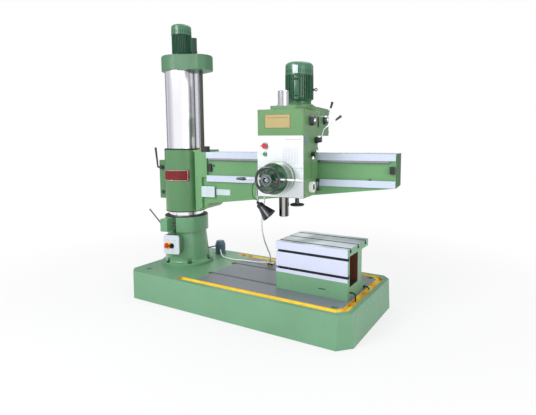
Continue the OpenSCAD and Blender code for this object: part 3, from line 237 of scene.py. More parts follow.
def piece(name, shape, finish, body, arm=False, crease=35):
    """One finished piece on its body, from a shape drawn in millimetres."""
    mesh = bpy.data.meshes.new(name)
    mesh.from_pydata(in_metres(shape[0], arm), [], shape[1])
    work = bmesh.new()
    work.from_mesh(mesh)
    bmesh.ops.recalc_face_normals(work, faces=work.faces)
    work.to_mesh(mesh)
    work.free()
    mesh.shade_smooth()
    mesh.set_sharp_from_angle(angle=math.radians(crease))
    mesh.materials.append(finish)
    made = bpy.data.objects.new(name, mesh)
    bpy.context.scene.collection.objects.link(made)
    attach(made, body)
    return made


def new_finish(name, colour, rough, metal=0.0, coat=0.0, coat_rough=0.12):
    """A plain finish, with its gloss and its clear coat."""
    mat = bpy.data.materials.new(name)
    mat.use_nodes = True
    shader = mat.node_tree.nodes["Principled BSDF"]
    shader.inputs["Base Color"].default_value = colour
    shader.inputs["Roughness"].default_value = rough
    shader.inputs["Metallic"].default_value = metal
    shader.inputs["Coat Weight"].default_value = coat
    shader.inputs["Coat Roughness"].default_value = coat_rough
    return mat


def feed(mat, name, socket):
    """Feeds one input of a finish."""
    mat.node_tree.links.new(socket, mat.node_tree.nodes["Principled BSDF"].inputs[name])


def stretched(mat, scale):
    """The spot on the piece, scaled along each axis."""
    spot = add(mat, "TexCoord").outputs["Object"]
    return add(mat, "Mapping", {"Vector": spot, "Scale": scale}).outputs[0]


def cloud(mat, size, detail=3.0, scale=(1, 1, 1), rough=0.55):
    """Uneven spots about 1 / size of a metre wide."""
    return add(mat, "TexNoise", {"Vector": stretched(mat, scale), "Scale": size, "Detail": detail,
                                 "Roughness": rough}).outputs[0]


def levels(mat, value, low, high, to_low, to_high):
    """A value between low and high, laid over another range."""
    values = {"Value": value, "From Min": low, "From Max": high, "To Min": to_low, "To Max": to_high}
    return add(mat, "MapRange", values).outputs[0]


def spread_out(mat, value, to_low=0, to_high=1):
    """A cloud's usual values, which lie between 0.3 and 0.7, laid over another range."""
    return levels(mat, value, 0.3, 0.7, to_low, to_high)


def blend_of(mat, share, first, second):
    """From the first colour to the second, as share goes from 0 to 1."""
    made = add(mat, "Mix", data_type="RGBA")
    for socket, value in ((made.inputs[0], share), (made.inputs[6], first), (made.inputs[7], second)):
        if isinstance(value, bpy.types.NodeSocket):
            mat.node_tree.links.new(value, socket)
        else:
            socket.default_value = value
    return made.outputs[2]


def relief(mat, height, depth, normal=None):
    """Bump of that depth in metres."""
    values = {"Height": height, "Distance": depth, "Strength": 1.0}
    if normal is not None:
        values["Normal"] = normal
    return add(mat, "Bump", values).outputs[0]


def shaded(colour, by):
    """The same colour, darker or brighter."""
    return tuple(min(1.0, c * by) for c in colour[:3]) + (1,)


def moulded(name, colour, rough=0.4, metal=0.0, coat=0.0, grain=260, depth=0.00012, spread=0.12):
    """Plastic, rubber or plain metal: small changes of tone and gloss, fine grain."""
    mat = new_finish(name, colour, rough, metal, coat)
    darker, paler = shaded(colour, 1 - spread), shaded(colour, 1 + spread)
    feed(mat, "Base Color", blend_of(mat, spread_out(mat, cloud(mat, 22, 4)), darker, paler))
    feed(mat, "Roughness", spread_out(mat, cloud(mat, 60, 5), rough * 0.8, min(1, rough * 1.25)))
    feed(mat, "Normal", relief(mat, cloud(mat, grain, 3), depth))
    return mat


hose_plastic = moulded("hose_plastic", tint(240, 242, 238), 0.32, coat=0.3, grain=40, depth=0.0004,
                       spread=0.04)
clip_steel = moulded("clip_steel", tint(176, 176, 180), 0.3, metal=1.0, grain=500)
gland_rubber = moulded("gland_rubber", tint(22, 22, 24), 0.6, grain=700)


def laid_curve(name, route, width, finish, body, arm=False):
    """A hose or cable of that width, laid along its route."""
    data = bpy.data.curves.new(name, "CURVE")
    data.dimensions = "3D"
    data.bevel_depth = width / 2000
    data.bevel_resolution = 5
    data.resolution_u = 8
    data.use_fill_caps = True
    line = data.splines.new("BEZIER")
    points = in_metres(route, arm)
    line.bezier_points.add(len(points) - 1)
    for knot, spot in zip(line.bezier_points, points):
        knot.co = spot
        knot.handle_left_type = knot.handle_right_type = "AUTO"
    data.materials.append(finish)
    made = bpy.data.objects.new(name, data)
    bpy.context.scene.collection.objects.link(made)
    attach(made, body)
    return made


def worm_clip(at, way, width):
    """Band clip round a hose with its screw housing."""
    way = Vector(way).normalized()
    r = width / 2
    band = turned([(r + 0.2, -4.5), (r + 1.2, -4.5), (r + 1.2, 4.5), (r + 0.2, 4.5)], at, way, 40,
                  closed=True)
    side = way.orthogonal().normalized()
    over = way.cross(side)
    seat = Vector(at) + side * (r + 3)
    screw = turned([(0, -8), (3.4, -8), (3.8, -7), (3.8, 5), (2.6, 5.2), (2.6, 9), (0, 9)], seat, over, 16)
    return together(band, screw)


hose_width, cable_width = 14, 6
deck_route = [[159, 342, 330], [180, 320, 328], [200, 301, 315], [223, 286, 295], [252, 273, 281],
              [300, 258, 278], [350, 248, 278], [400, 242, 278], [450, 244, 278], [500, 253, 279.4],
              [560, 263, 280], [620, 270, 280], [680, 275, 280], [730, 276, 282], [765, 274, 287],
              [797, 270, 293], [825, 267, 297], [850, 266, 298]]
deck_hose = laid_curve("deck_hose_run", deck_route, hose_width, hose_plastic, "base")
deck_bands = together(worm_clip((165, 335.7, 329.4), (0.68, -0.73, -0.06), hose_width),
                      worm_clip((842, 266.3, 298), (1, 0, 0), hose_width))
deck_clips = piece("deck_hose_clips", deck_bands, clip_steel, "base")
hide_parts("deck_hose")

coolant_route = [[1148, -470, 1095], [1148, -470, 1060], [1142, -467, 1020], [1128, -457, 970],
                 [1109, -438, 915], [1089, -409, 855], [1069, -367, 790], [1049, -312, 722],
                 [1029, -247, 655], [1008, -174, 592], [986, -98, 535], [963, -28, 489], [943, 34, 451],
                 [930, 80, 422], [922, 109, 394], [919, 123.4, 368], [918.1, 128, 350], [918, 128.6, 341],
                 [918, 128.6, 330.3]]
coolant_hose = laid_curve("coolant_hose_run", coolant_route, hose_width, hose_plastic, "head",
                          arm=True)
coolant_bands = together(worm_clip((1148, -470, 1084), (0, 0, 1), hose_width),
                         worm_clip((918, 128.6, 338), (0, 0, -1), hose_width))
coolant_clips = piece("coolant_hose_clips", coolant_bands, clip_steel, "head", arm=True)
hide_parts("coolant_hose")

cable_route = [[1140, -520, 1240], [1127, -520, 1239], [1114, -523, 1235], [1102, -528, 1227],
               [1091, -534, 1215], [1082, -540, 1200], [1076, -545, 1182], [1073, -550, 1162],
               [1073, -554, 1142], [1075, -557, 1122], [1079, -559, 1103], [1087, -560, 1085],
               [1097, -560, 1072], [1108, -560, 1064], [1120, -560, 1060]]
lamp_flex = moulded("lamp_flex", tint(24, 24, 26), 0.45, grain=900)
lamp_cable = laid_curve("lamp_cable_run", cable_route, cable_width, lamp_flex, "head",
                        arm=True)
gland_shape = turned([(3.1, 24), (4.0, 24), (4.8, 14), (6.2, 6), (9.5, 5), (10, 0.5), (10, 0), (3.1, 0)],
                     (1139, -520, 1240), (-1, 0, 0), 32, closed=True)
lamp_gland = piece("lamp_cable_gland", gland_shape, gland_rubber, "head", arm=True)
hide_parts("lamp_cable")


# Base: one long grey iron casting, painted green. Its deck is planed, with two T
# slots, and the coolant gutter round the deck is painted yellow.
base_green = tint(112, 160, 125)
deck_z, deck_start, lip_z = 0.27045, 0.4715, 0.2696
slot_lines, slot_half, slot_floor, slot_end = (-0.198, 0.163), 0.030, 0.222, 1.97
pocket_x, pocket_z, pocket_r, pocket_edge = 0.506, 0.272, 0.044, 0.2695
gutter_side, gutter_end, gutter_half, corner_cut = 0.457, 2.020, 0.0312, 0.060
gutter_floor, gutter_top, gutter_start = 0.2505, 0.2712, 0.328
wet_end, wet_start, wet_side, wet_reach = 1.985, 0.352, 0.2, 0.5


def both(mat, *sockets):
    """1 where all of these are."""
    out = sockets[0]
    for more in sockets[1:]:
        out = maths(mat, "MULTIPLY", out, more)
    return out


def either(mat, *sockets):
    """1 where any of these is."""
    out = sockets[0]
    for more in sockets[1:]:
        out = maths(mat, "MAXIMUM", out, more)
    return out


def above(mat, value, limit):
    """1 where the value is over the limit."""
    return maths(mat, "GREATER_THAN", value, limit)


def below(mat, value, limit):
    """1 where the value is under the limit."""
    return maths(mat, "LESS_THAN", value, limit)


def near(mat, value, middle, reach):
    """1 where the value is within reach of the middle."""
    off = maths(mat, "SUBTRACT", value, middle)
    return below(mat, maths(mat, "ABSOLUTE", off), reach)


def within(mat, spot, centre, reach):
    """1 inside a ball round centre."""
    return below(mat, add(mat, "VectorMath", {0: spot, 1: centre}, operation="DISTANCE").outputs["Value"],
                 reach)


def spot_on(mat, turn=0.0):
    """The spot on the piece, in a drawing turned by that many degrees."""
    spot = add(mat, "TexCoord").outputs["Object"]
    if turn:
        spot = add(mat, "VectorRotate", {"Vector": spot, "Angle": -math.radians(turn)},
                   rotation_type="Z_AXIS").outputs[0]
    return spot


def where(mat, turn=0.0):
    """The spot's x, y and z."""
    return add(mat, "SeparateXYZ", {0: spot_on(mat, turn)}).outputs


def worn_edges(mat, radius=0.004):
    """1 on the outer edges, where the finish is knocked thin."""
    round_normal = add(mat, "Bevel", {"Radius": radius}, samples=4).outputs[0]
    true_normal = add(mat, "NewGeometry").outputs["Normal"]
    turn = add(mat, "VectorMath", {0: round_normal, 1: true_normal},
               operation="DOT_PRODUCT").outputs["Value"]
    chips = levels(mat, cloud(mat, 55, 5), 0.46, 0.62, 0.15, 1.0)
    return both(mat, levels(mat, turn, 0.80, 0.97, 1.0, 0.0), chips)


def paint_tone(mat, colour, wear=0.5):
    """Filled and sprayed paint on iron: large clouds, a little dust, pale worn edges."""
    tone = spread_out(mat, cloud(mat, 2.2, 4))
    base = blend_of(mat, tone, shaded(colour, 0.94), shaded(colour, 1.05))
    dust = levels(mat, cloud(mat, 14, 6, (1, 1, 0.35)), 0.55, 0.85, 0.0, 0.18)
    base = blend_of(mat, dust, base, shaded(colour, 0.75))
    edge = maths(mat, "MULTIPLY", worn_edges(mat), wear)
    return blend_of(mat, edge, base, shaded(colour, 1.4))


def paint_normal(mat):
    """Orange peel over the slow waves of hand filled iron, with softened corners."""
    soft = add(mat, "Bevel", {"Radius": 0.0022}, samples=4).outputs[0]
    return relief(mat, cloud(mat, 420, 2), 0.00016, relief(mat, cloud(mat, 9, 2), 0.003, soft))


def iron_paint(name, colour, rough=0.34, wear=0.5, coat=0.25):
    """Sprayed paint over a filled casting."""
    mat = new_finish(name, colour, rough, coat=coat, coat_rough=0.18)
    feed(mat, "Base Color", paint_tone(mat, colour, wear))
    feed(mat, "Roughness", spread_out(mat, cloud(mat, 30, 5), rough * 0.85, rough * 1.3))
    feed(mat, "Normal", paint_normal(mat))
    return mat


def cutter_marks(mat, along, pitch=1.0):
    """Fine lines that a planer or grinder leaves, along one direction."""
    scale = {"x": (1.2, 190, 190), "y": (190, 1.2, 190), "z": (190, 190, 1.2), "round": (3, 3, 420)}[along]
    return cloud(mat, 3.0 * pitch, 3, scale, 0.6)


def steel_tone(mat, colour, along, spread=0.08, pitch=1.0):
    """The tone of cut metal: cutter lines and a few stains."""
    lines = spread_out(mat, cutter_marks(mat, along, pitch))
    base = blend_of(mat, lines, shaded(colour, 1 - spread), shaded(colour, 1 + spread))
    stain = levels(mat, cloud(mat, 5, 6), 0.5, 0.8, 0.0, 0.25)
    return blend_of(mat, stain, base, shaded(colour, 0.85))


def machined(name, colour, along, rough=0.3, metal=1.0, spread=0.08, depth=0.00004, pitch=1.0):
    """Planed, ground or turned metal."""
    mat = new_finish(name, colour, rough, metal)
    feed(mat, "Base Color", steel_tone(mat, colour, along, spread, pitch))
    feed(mat, "Roughness", spread_out(mat, cloud(mat, 12, 5), rough * 0.85, rough * 1.2))
    feed(mat, "Normal", relief(mat, cutter_marks(mat, along, pitch), depth))
    return mat


def dress(node, mat):
    """Gives a node of the model its finish."""
    for slot in nodes[node].material_slots:
        slot.material = mat


def repaint(mat, share, colour, rough=None, metal=None):
    """Lays another finish over part of a piece, where share is 1."""
    shader = mat.node_tree.nodes["Principled BSDF"]
    for socket, value in (("Base Color", colour), ("Roughness", rough), ("Metallic", metal)):
        if value is None:
            continue
        links = shader.inputs[socket].links
        now = links[0].from_socket if links else shader.inputs[socket].default_value
        if socket == "Base Color":
            feed(mat, socket, blend_of(mat, share, tuple(now) if not links else now, value))
        else:
            kept = maths(mat, "SUBTRACT", 1.0, share)
            old = maths(mat, "MULTIPLY", kept, now)
            feed(mat, socket, maths(mat, "MULTIPLY_ADD", share, value, old))


base_iron = iron_paint("base_iron", base_green, 0.4, coat=0.1)
x, y, z = where(base_iron)
in_slot = either(base_iron, *(near(base_iron, y, line, slot_half) for line in slot_lines))
slot_wall = both(base_iron, in_slot, above(base_iron, z, slot_floor), below(base_iron, x, slot_end))
planed = either(base_iron, above(base_iron, z, deck_z), slot_wall)
repaint(base_iron, both(base_iron, planed, above(base_iron, x, deck_start)),
        steel_tone(base_iron, tint(132, 137, 145), "x", 0.05), 0.5, 0.25)
pockets = [within(base_iron, spot_on(base_iron), (pocket_x, line, pocket_z), pocket_r)
           for line in slot_lines]
rust_ring = both(base_iron, either(base_iron, *pockets), above(base_iron, z, pocket_edge))
repaint(base_iron, rust_ring, tint(168, 148, 104), 0.55, 0.1)
across = maths(base_iron, "ABSOLUTE", y)
side = maths(base_iron, "SUBTRACT", across, gutter_side)
end = maths(base_iron, "SUBTRACT", x, gutter_end)
corner = maths(base_iron, "ADD", maths(base_iron, "ADD", side, end), corner_cut)
corner = maths(base_iron, "MULTIPLY", corner, math.sqrt(0.5))
line = either(base_iron, side, end, corner)
in_gutter = both(base_iron, near(base_iron, line, 0.0, gutter_half), above(base_iron, z, gutter_floor),
                 above(base_iron, x, gutter_start), below(base_iron, z, gutter_top))
yellow_tone, amber_tone = (spread_out(base_iron, cloud(base_iron, size, 5)) for size in (20, 26))
yellow = blend_of(base_iron, yellow_tone, tint(236, 206, 62), tint(248, 226, 92))
amber = blend_of(base_iron, amber_tone, tint(196, 138, 24), tint(222, 168, 40))
back_corner = both(base_iron, above(base_iron, y, wet_side), below(base_iron, x, wet_reach))
where_wet = either(base_iron, above(base_iron, x, wet_end), below(base_iron, x, wet_start), back_corner)
stained = both(base_iron, levels(base_iron, cloud(base_iron, 9, 3), 0.40, 0.56, 0, 1), where_wet)
gutter_paint = blend_of(base_iron, either(base_iron, stained, above(base_iron, z, lip_z)), yellow, amber)
repaint(base_iron, in_gutter, gutter_paint, 0.45, 0.0)
dress("base", base_iron)

# Column foot with its split collar, bolted to the base with six bolts. The slit
# is drawn together by the bolt of the clamp lever.
foot_paint = iron_paint("foot_paint", tint(104, 158, 116))
bolt_steel = moulded("bolt_steel", tint(92, 96, 100), 0.38, metal=1.0, grain=600)
bright_steel = moulded("bright_steel", tint(196, 198, 204), 0.22, metal=1.0, grain=500, depth=0.00004,
                       spread=0.05)
wiper_rubber = moulded("wiper_rubber", tint(20, 21, 23), 0.55, grain=600)
bare_iron = machined("bare_iron", tint(120, 124, 130), "z", 0.4)
dress("column_foot", foot_paint)
dress("base_bolts", bolt_steel)
dress("collar_seal", wiper_rubber)
dress("inner_column", bare_iron)
dress("column_bearings", bare_iron)
dress("column_clamp_lever", moulded("lever_steel", tint(128, 126, 118), 0.34, metal=0.4))


def hex_bolt(at, way, width=19, height=9, washer=True):
    """Hexagon head with its chamfer and washer; at lies on the seat."""
    r = width / 2 * 1.155
    head = turned([(0, 0.2), (r, 0.2), (r, height - 1.6), (r * 0.86, height), (0, height)], at, way, 6)
    ring = turned([(0, 0.2), (r * 1.25, 0.2), (r * 1.25, 1.8), (r * 1.18, 2.2), (0, 2.2)], at, way, 32)
    return together(head, ring) if washer else head


def dome_screw(at, way, r=4.0, height=2.2):
    """Round head of a small screw or rivet."""
    steps = [(r * math.cos(a), height * math.sin(a)) for a in (0, 0.4, 0.8, 1.2)]
    return turned([(0, 0.1), (r, 0.1)] + steps[1:] + [(0, height)], at, way, 16)


def on_circle(centre, r, angles, height):
    """Places at one height on a circle."""
    return [(centre[0] + r * math.cos(a), centre[1] + r * math.sin(a), height) for a in angles]


def slab(low, high, edge=1.0):
    """A plate or block between two corners, with small round edges."""
    work = bmesh.new()
    bmesh.ops.create_cube(work, size=1.0)
    for vert in work.verts:
        vert.co = Vector([low[k] + (high[k] - low[k]) * (vert.co[k] + 0.5) for k in range(3)])
    bmesh.ops.bevel(work, geom=work.edges, offset=edge, segments=2, profile=0.5, affect="EDGES")
    work.verts.index_update()
    made = [v.co.copy() for v in work.verts], [[v.index for v in face.verts] for face in work.faces]
    work.free()
    return made


def turned_to(shape, degrees, shift=(0, 0, 0)):
    """A shape swung about the upright through the origin, then shifted."""
    swing = Matrix.Rotation(math.radians(degrees), 4, "Z")
    return [swing @ Vector(v) + Vector(shift) for v in shape[0]], shape[1]


# Switch box: a green box on the foot with a white enamelled cover, a red power
# switch on a yellow plate, and a black pump switch.
box_angle, box_face, cover_back = -77, 300, 0.291
box_paint = iron_paint("box_paint", tint(70, 122, 84), 0.36)
x, y, z = where(box_paint, box_angle)
repaint(box_paint, above(box_paint, x, cover_back), tint(208, 216, 226), 0.35, 0.0)
dress("switch_box", box_paint)
cover_screws = together(*(dome_screw((box_face, t, h), (1, 0, 0), 4.2) for t in (-76, 76)
                          for h in (433, 601)))
piece("box_cover_screws", turned_to(cover_screws, box_angle), bright_steel, "base")
switch_yellow = moulded("switch_yellow", tint(250, 204, 74), 0.4, coat=0.3, spread=0.04)
power_plate = slab((box_face + 0.02, -48, 470), (box_face + 0.28, -6, 544), 0.1)
piece("power_plate", turned_to(power_plate, box_angle), switch_yellow, "base")
marks = together(*(slab((box_face + 0.02, t, 560), (box_face + 0.6, t + 14, 563), 0.2)
                   for t in (-60, -36, 12, 36)))
piece("switch_marks", turned_to(marks, box_angle), moulded("mark_grey", tint(120, 130, 150), 0.5), "base")
switch_red = moulded("switch_red", tint(226, 78, 30), 0.35, coat=0.3)
dress("power_switch", switch_red)
dress("pump_switch", moulded("switch_black", tint(22, 24, 24), 0.35, coat=0.3))

# Work table: a cast iron box, planed on its top and front, with T slots in both.
# Inside the tunnel, the walls are painted near black as painted shade, and the back wall red brown.
table_start, table_end, table_front, table_top = 1.2905, 1.9675, -0.2465, 0.6915
tunnel_front, tunnel_back, tunnel_floor, tunnel_roof = -0.2055, -0.0295, 0.3765, 0.6325
top_slots, front_slots, table_slot_half = (-0.187, -0.022, 0.143), (0.612, 0.464), 0.0195
planed_from, top_slot_floor, front_slot_back = 0.4215, 0.657, -0.212
table_iron = iron_paint("table_iron", tint(114, 163, 126), 0.36, coat=0.1)
x, y, z = where(table_iron)
inside = both(table_iron, below(table_iron, x, table_end), above(table_iron, x, table_start))
front = both(table_iron, below(table_iron, y, table_front), above(table_iron, z, planed_from))
repaint(table_iron, front, steel_tone(table_iron, tint(213, 219, 243), "x", 0.02), 0.5, 0.1)
top = above(table_iron, z, table_top)
streaks = levels(table_iron, cloud(table_iron, 3.4, 0, (1.5, 1.0, 1)), 0.36, 0.64, 0, 1)
repaint(table_iron, top, blend_of(table_iron, streaks, tint(150, 166, 172), tint(226, 238, 246)), 0.3, 0.55)
at_top_slot = either(table_iron, *(near(table_iron, y, line, table_slot_half) for line in top_slots))
top_groove = both(table_iron, above(table_iron, z, top_slot_floor), below(table_iron, z, table_top),
                  at_top_slot)
at_front_slot = either(table_iron, *(near(table_iron, z, line, table_slot_half) for line in front_slots))
front_groove = both(table_iron, below(table_iron, y, front_slot_back), above(table_iron, y, table_front),
                    at_front_slot)
# Painted shade in the table's T slots: their walls are painted dark grey.
groove_shade = both(table_iron, either(table_iron, top_groove, front_groove), inside)
repaint(table_iron, groove_shade, tint(74, 76, 84), 0.5, 0.4)
# Painted shade inside the tunnel: near black walls; its back wall is red brown.
tunnel = both(table_iron, above(table_iron, y, tunnel_front), below(table_iron, y, tunnel_back),
              above(table_iron, z, tunnel_floor), below(table_iron, z, tunnel_roof),
              below(table_iron, x, table_end))
repaint(table_iron, tunnel, tint(38, 40, 36), 0.7, 0.0)
repaint(table_iron, both(table_iron, tunnel, above(table_iron, y, tunnel_back - 0.003)), tint(96, 48, 30),
        0.7, 0.0)
dress("work_table", table_iron)
plate_dark = moulded("plate_dark", tint(52, 84, 62), 0.5)
cast_marks = together(slab((1706, -247.7, 334), (1774, -246.9, 343), 0.25),
                      slab((1792, -247.5, 318), (1802, -246.9, 322), 0.2))
piece("table_cast_mark", cast_marks, plate_dark, "base")

# Coolant pump on the back corner of the base: a blue grey motor with cooling ribs
# and a cap, held by four screws.
pump_paint = iron_paint("pump_paint", tint(92, 116, 138), 0.4, wear=0.3)
dress("coolant_pump", pump_paint)
pump_at = (110, 400)
pump_rings = [turned([(54.1, h), (57, h + 0.6), (57, h + 3.4), (54.1, h + 4)], (*pump_at, 270), sides=64,
                     closed=True) for h in range(44, 108, 9)]
pump_cap = turned([(44, 138), (46, 139), (46, 144), (40, 147), (0, 147.5), (0, 138)], (*pump_at, 270),
                  sides=48)
piece("pump_ribs", together(*pump_rings, pump_cap), pump_paint, "base")
screw_places = on_circle(pump_at, 57, (0.3, 1.87, 3.44, 5.01), 280)
pump_screws = [hex_bolt(at, (0, 0, 1), 8, 5, False) for at in screw_places]
piece("pump_screws", together(*pump_screws), bolt_steel, "base")

# Coolant tap on the deck: a brass cock with union nuts and a small handle, and the
# short rubber drains of the table.
brass = machined("tap_brass", tint(214, 204, 172), "z", 0.3, metal=0.7)
dress("coolant_tap", brass)
tap_x, tap_y = 888, 266
side_nuts = [hex_bolt((tap_x - 37, tap_y, 298), (-1, 0, 0), 26, 8, False),
             hex_bolt((tap_x + 45.8, tap_y, 298), (1, 0, 0), 24, 7, False)]
top_nut = turned([(11.2, 312), (15, 313), (15, 319), (11.2, 320)], (tap_x, tap_y, 0), sides=6, closed=True)
piece("tap_nuts", together(*side_nuts, top_nut), bright_steel, "base")
dress("tap_handle", moulded("tap_plastic", tint(30, 30, 34), 0.45))
dress("drain_tubes", moulded("drain_rubber", tint(24, 24, 26), 0.45))

# Column: a thick steel tube, ground and polished to run in the arm. It carries the
# gear cap and the lift motor, with ribs, a terminal box and a fan cover.
polished = new_finish("polished_column", tint(246, 246, 250), 0.16, 1.0)
feed(polished, "Base Color", steel_tone(polished, tint(246, 246, 250), "round", 0.02))
polished_shader = polished.node_tree.nodes["Principled BSDF"]
polished_shader.inputs["Anisotropic"].default_value = 0.92
to_the_right = (0.7071, 0.7071, 0)


def painted_reflection_bands(mat, axis, streaks):
    """Painted reflections: upright dark and pale bands on a bright bar; for each, how far right of the axis
    in the view, half width, grey.
    """
    spot = add(mat, "VectorMath", {0: spot_on(mat), 1: axis}, operation="SUBTRACT").outputs[0]
    across = add(mat, "VectorMath", {0: spot, 1: to_the_right}, operation="DOT_PRODUCT").outputs["Value"]
    for middle, reach, grey in streaks:
        off = maths(mat, "ABSOLUTE", maths(mat, "SUBTRACT", across, middle))
        repaint(mat, levels(mat, off, reach * 0.7, reach * 1.2, 1, 0), (grey, grey * 0.97, grey * 1.05, 1))


# Painted reflections on the polished column: upright grey bands, set where the camera sees them.
painted_reflection_bands(polished, (0, 0, 0), ((0.048, 0.030, 0.36), (0.090, 0.006, 0.62), (-0.140, 0.011, 0.8)))
feed(polished, "Tangent", add(polished, "Tangent", direction_type="RADIAL", axis="Z").outputs[0])
dress("column", polished)
cap_paint = iron_paint("cap_paint", tint(77, 122, 88), 0.42, coat=0.05)
dress("column_cap", cap_paint)
motor_paint = iron_paint("motor_paint", tint(48, 104, 72), 0.32, wear=0.25, coat=0.35)
fan_paint = iron_paint("fan_paint", tint(62, 118, 86), 0.3, wear=0.3, coat=0.4)
lift_paint = iron_paint("lift_motor_paint", tint(44, 92, 68), 0.5, wear=0.3, coat=0)
# Painted shade: the lift motor's terminal box is painted darker green than the motor.
terminal_angle, terminal_start = 44.7, 0.105
outward = where(lift_paint, terminal_angle)[0]
repaint(lift_paint, above(lift_paint, outward, terminal_start), tint(24, 62, 44))
dress("lift_motor", lift_paint)
dress("lift_fan_cover", fan_paint)


def fan_grille(r, top, at):
    """Rolled lower edge, three side screws and a ringed grille on top."""
    edge = turned([(r + 0.1, 4), (r + 2.4, 5), (r + 2.4, 11), (r + 0.1, 12)], (*at, top[0]), sides=72,
                  closed=True)
    rings = [turned([(q, 0.1), (q + 2, 0.1), (q + 2, 1.4), (q, 1.4)], (*at, top[1]), sides=48, closed=True)
             for q in [r * k for k in (0.2, 0.34, 0.48, 0.62)]]
    screws = [dome_screw((at[0] + (r + 0.2) * math.cos(a), at[1] + (r + 0.2) * math.sin(a), top[0] + 20),
                         (math.cos(a), math.sin(a), 0), 4) for a in (0.35, 2.45, 4.55)]
    return together(edge, *rings, *screws)


def vent_shade_bars(r, height, at, count=36):
    """Thin dark bars round a fan cover: painted shade that stands in for its upright air slots."""
    bar = slab((r - 0.6, -2.4, height[0]), (r + 0.35, 2.4, height[1]), 0.3)
    return together(*(turned_to(bar, 360 * k / count, (*at, 0)) for k in range(count)))


# Painted shade of the fan covers' air slots: thin dark bars.
vent_shade_dark = moulded("vent_shade_dark", tint(16, 34, 24), 0.7)
lift_motor_r = 98
lift_r = lift_motor_r * 1.01
piece("lift_fan_trim", fan_grille(lift_r, (2622, 2726), (0, 0)), motor_paint, "column",
      arm=True)
piece("lift_fan_slots", vent_shade_bars(lift_r, (2640, 2668), (0, 0), 30), vent_shade_dark, "column",
      arm=True)
foot_places = on_circle((0, 0), 105, (0.1, 1.67, 3.24, 4.81), 2421)
foot_bolts = [hex_bolt(at, (0, 0, 1), 13, 8) for at in foot_places]
piece("lift_motor_bolts", together(*foot_bolts), bolt_steel, "column", arm=True)
cover_plate = slab((146.1, -40, 2476), (149, 40, 2600), 1.2)
cover_fixings = [dome_screw((149, t, h), (1, 0, 0), 3.6) for t in (-34, 34) for h in (2484, 2592)]
piece("terminal_cover", turned_to(together(cover_plate, *cover_fixings), 36), lift_paint, "column",
      arm=True)

# Lift screw: a steel screw with a square thread of 16 mm pitch, oiled dark. It
# turns in the bronze nut on the arm.
screw_dark = machined("screw_steel", tint(76, 84, 76), "round", 0.3, spread=0.15)
screw_foot, screw_head_z, screw_r = 1321, 2318.7, 19.0
thread_pitch, thread_depth = 16.0, 2.6
screw_reach, screw_turn = 236, math.radians(-5)
screw_at = (screw_reach * math.cos(screw_turn), screw_reach * math.sin(screw_turn))


def thread_bar(at, low, high, r, depth, pitch, sides=24):
    """A bar with a square thread: rings whose radius follows the helix."""
    verts = []
    steps = int((high - low) / pitch * 8)
    for i in range(steps + 1):
        h = low + (high - low) * i / steps
        for k in range(sides):
            phase = (h / pitch - k / sides) % 1.0
            q = r if phase < 0.5 else r - depth
            a = 2 * math.pi * k / sides
            verts.append((at[0] + q * math.cos(a), at[1] + q * math.sin(a), h))
    ends = [list(range(sides - 1, -1, -1)), list(range(steps * sides, (steps + 1) * sides))]
    return verts, skin(steps + 1, sides) + ends


threaded = thread_bar(screw_at, screw_foot, screw_head_z, screw_r, thread_depth, thread_pitch)
lift_thread = piece("lift_thread", threaded, screw_dark, "lift_screw", arm=True)
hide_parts("lift_screw")

# Arm: a ribbed iron casting clamped round the column. Its ways are ground bright,
# and a rack under the upper one moves the drill head.
way_start, way_face, way_lines, way_half = 0.3828, -0.1658, (1.418, 1.189), 0.0304
sleeve_end, sleeve_foot, end_face = 0.215, 0.839, 2.2205
cover_low, cover_high, under_end = 1.4475, 1.4485, 0.25
arm_iron = iron_paint("arm_iron", tint(106, 158, 106), 0.36, coat=0.12)
u, v, z = where(arm_iron, arm_angle)
on_way = either(arm_iron, *(near(arm_iron, z, line, way_half) for line in way_lines))
way_front = both(arm_iron, below(arm_iron, v, way_face), above(arm_iron, u, way_start), on_way)
way_cover = both(arm_iron, above(arm_iron, z, cover_low), below(arm_iron, z, cover_high),
                 above(arm_iron, u, way_start))
way_steel = steel_tone(arm_iron, tint(205, 215, 233), "x", 0.03)
repaint(arm_iron, either(arm_iron, way_front, way_cover), way_steel, 0.42, 0.2)
# Painted shade: the round sleeve is painted a darker green than the girder.
repaint(arm_iron, below(arm_iron, u, sleeve_end), paint_tone(arm_iron, tint(85, 134, 88), 0.4))
# Painted shade: the foot and underside of the sleeve are painted near black green.
shade_under_sleeve = both(arm_iron, below(arm_iron, z, sleeve_foot), below(arm_iron, u, under_end))
repaint(arm_iron, shade_under_sleeve, tint(24, 38, 28), 0.6)
# Painted shade: the arm's end face is painted a darker, matt green.
repaint(arm_iron, above(arm_iron, u, end_face), tint(52, 102, 52), 0.7, 0.0)
dress("arm", arm_iron)
dress("column_wiper", wiper_rubber)
dress("lift_nut", machined("nut_bronze", tint(196, 168, 104), "round", 0.32))
dress("arm_rack", machined("rack_steel", tint(150, 152, 156), "x", 0.32))
dress("arm_end_stop", moulded("stop_black", tint(34, 36, 38), 0.4))
dress("arm_switches", moulded("limit_black", tint(34, 36, 40), 0.45))
dress("arm_clamp_lever", moulded("clamp_black", tint(36, 38, 42), 0.32, coat=0.3))
way_strip = slab((384, -188.0, 1448.0), (2221, -176, 1448.6), 0.2)
piece("way_top_strip", way_strip, moulded("strip_dark", tint(96, 86, 120), 0.5), "arm",
      arm=True)
clamp_end = turned([(0, 62), (13, 62), (13, 80), (11, 82), (0, 82)], (-246, 0, 1016), (0, 1, 0), 24)
clamp_bolts = together(hex_bolt((-246, -62, 1016), (0, -1, 0), 30, 17), clamp_end,
                       hex_bolt((-246, 62, 1016), (0, 1, 0), 30, 12))
piece("arm_clamp_bolts", clamp_bolts, bolt_steel, "arm", arm=True)
root_places = on_circle((236, -20.6), 50, (0.8, 2.4, 3.9, 5.5), 1471)
root_bolts = [hex_bolt(at, (0, 0, 1), 10, 5, False) for at in root_places]
piece("arm_root_bolts", together(*root_bolts), bolt_steel, "arm", arm=True)

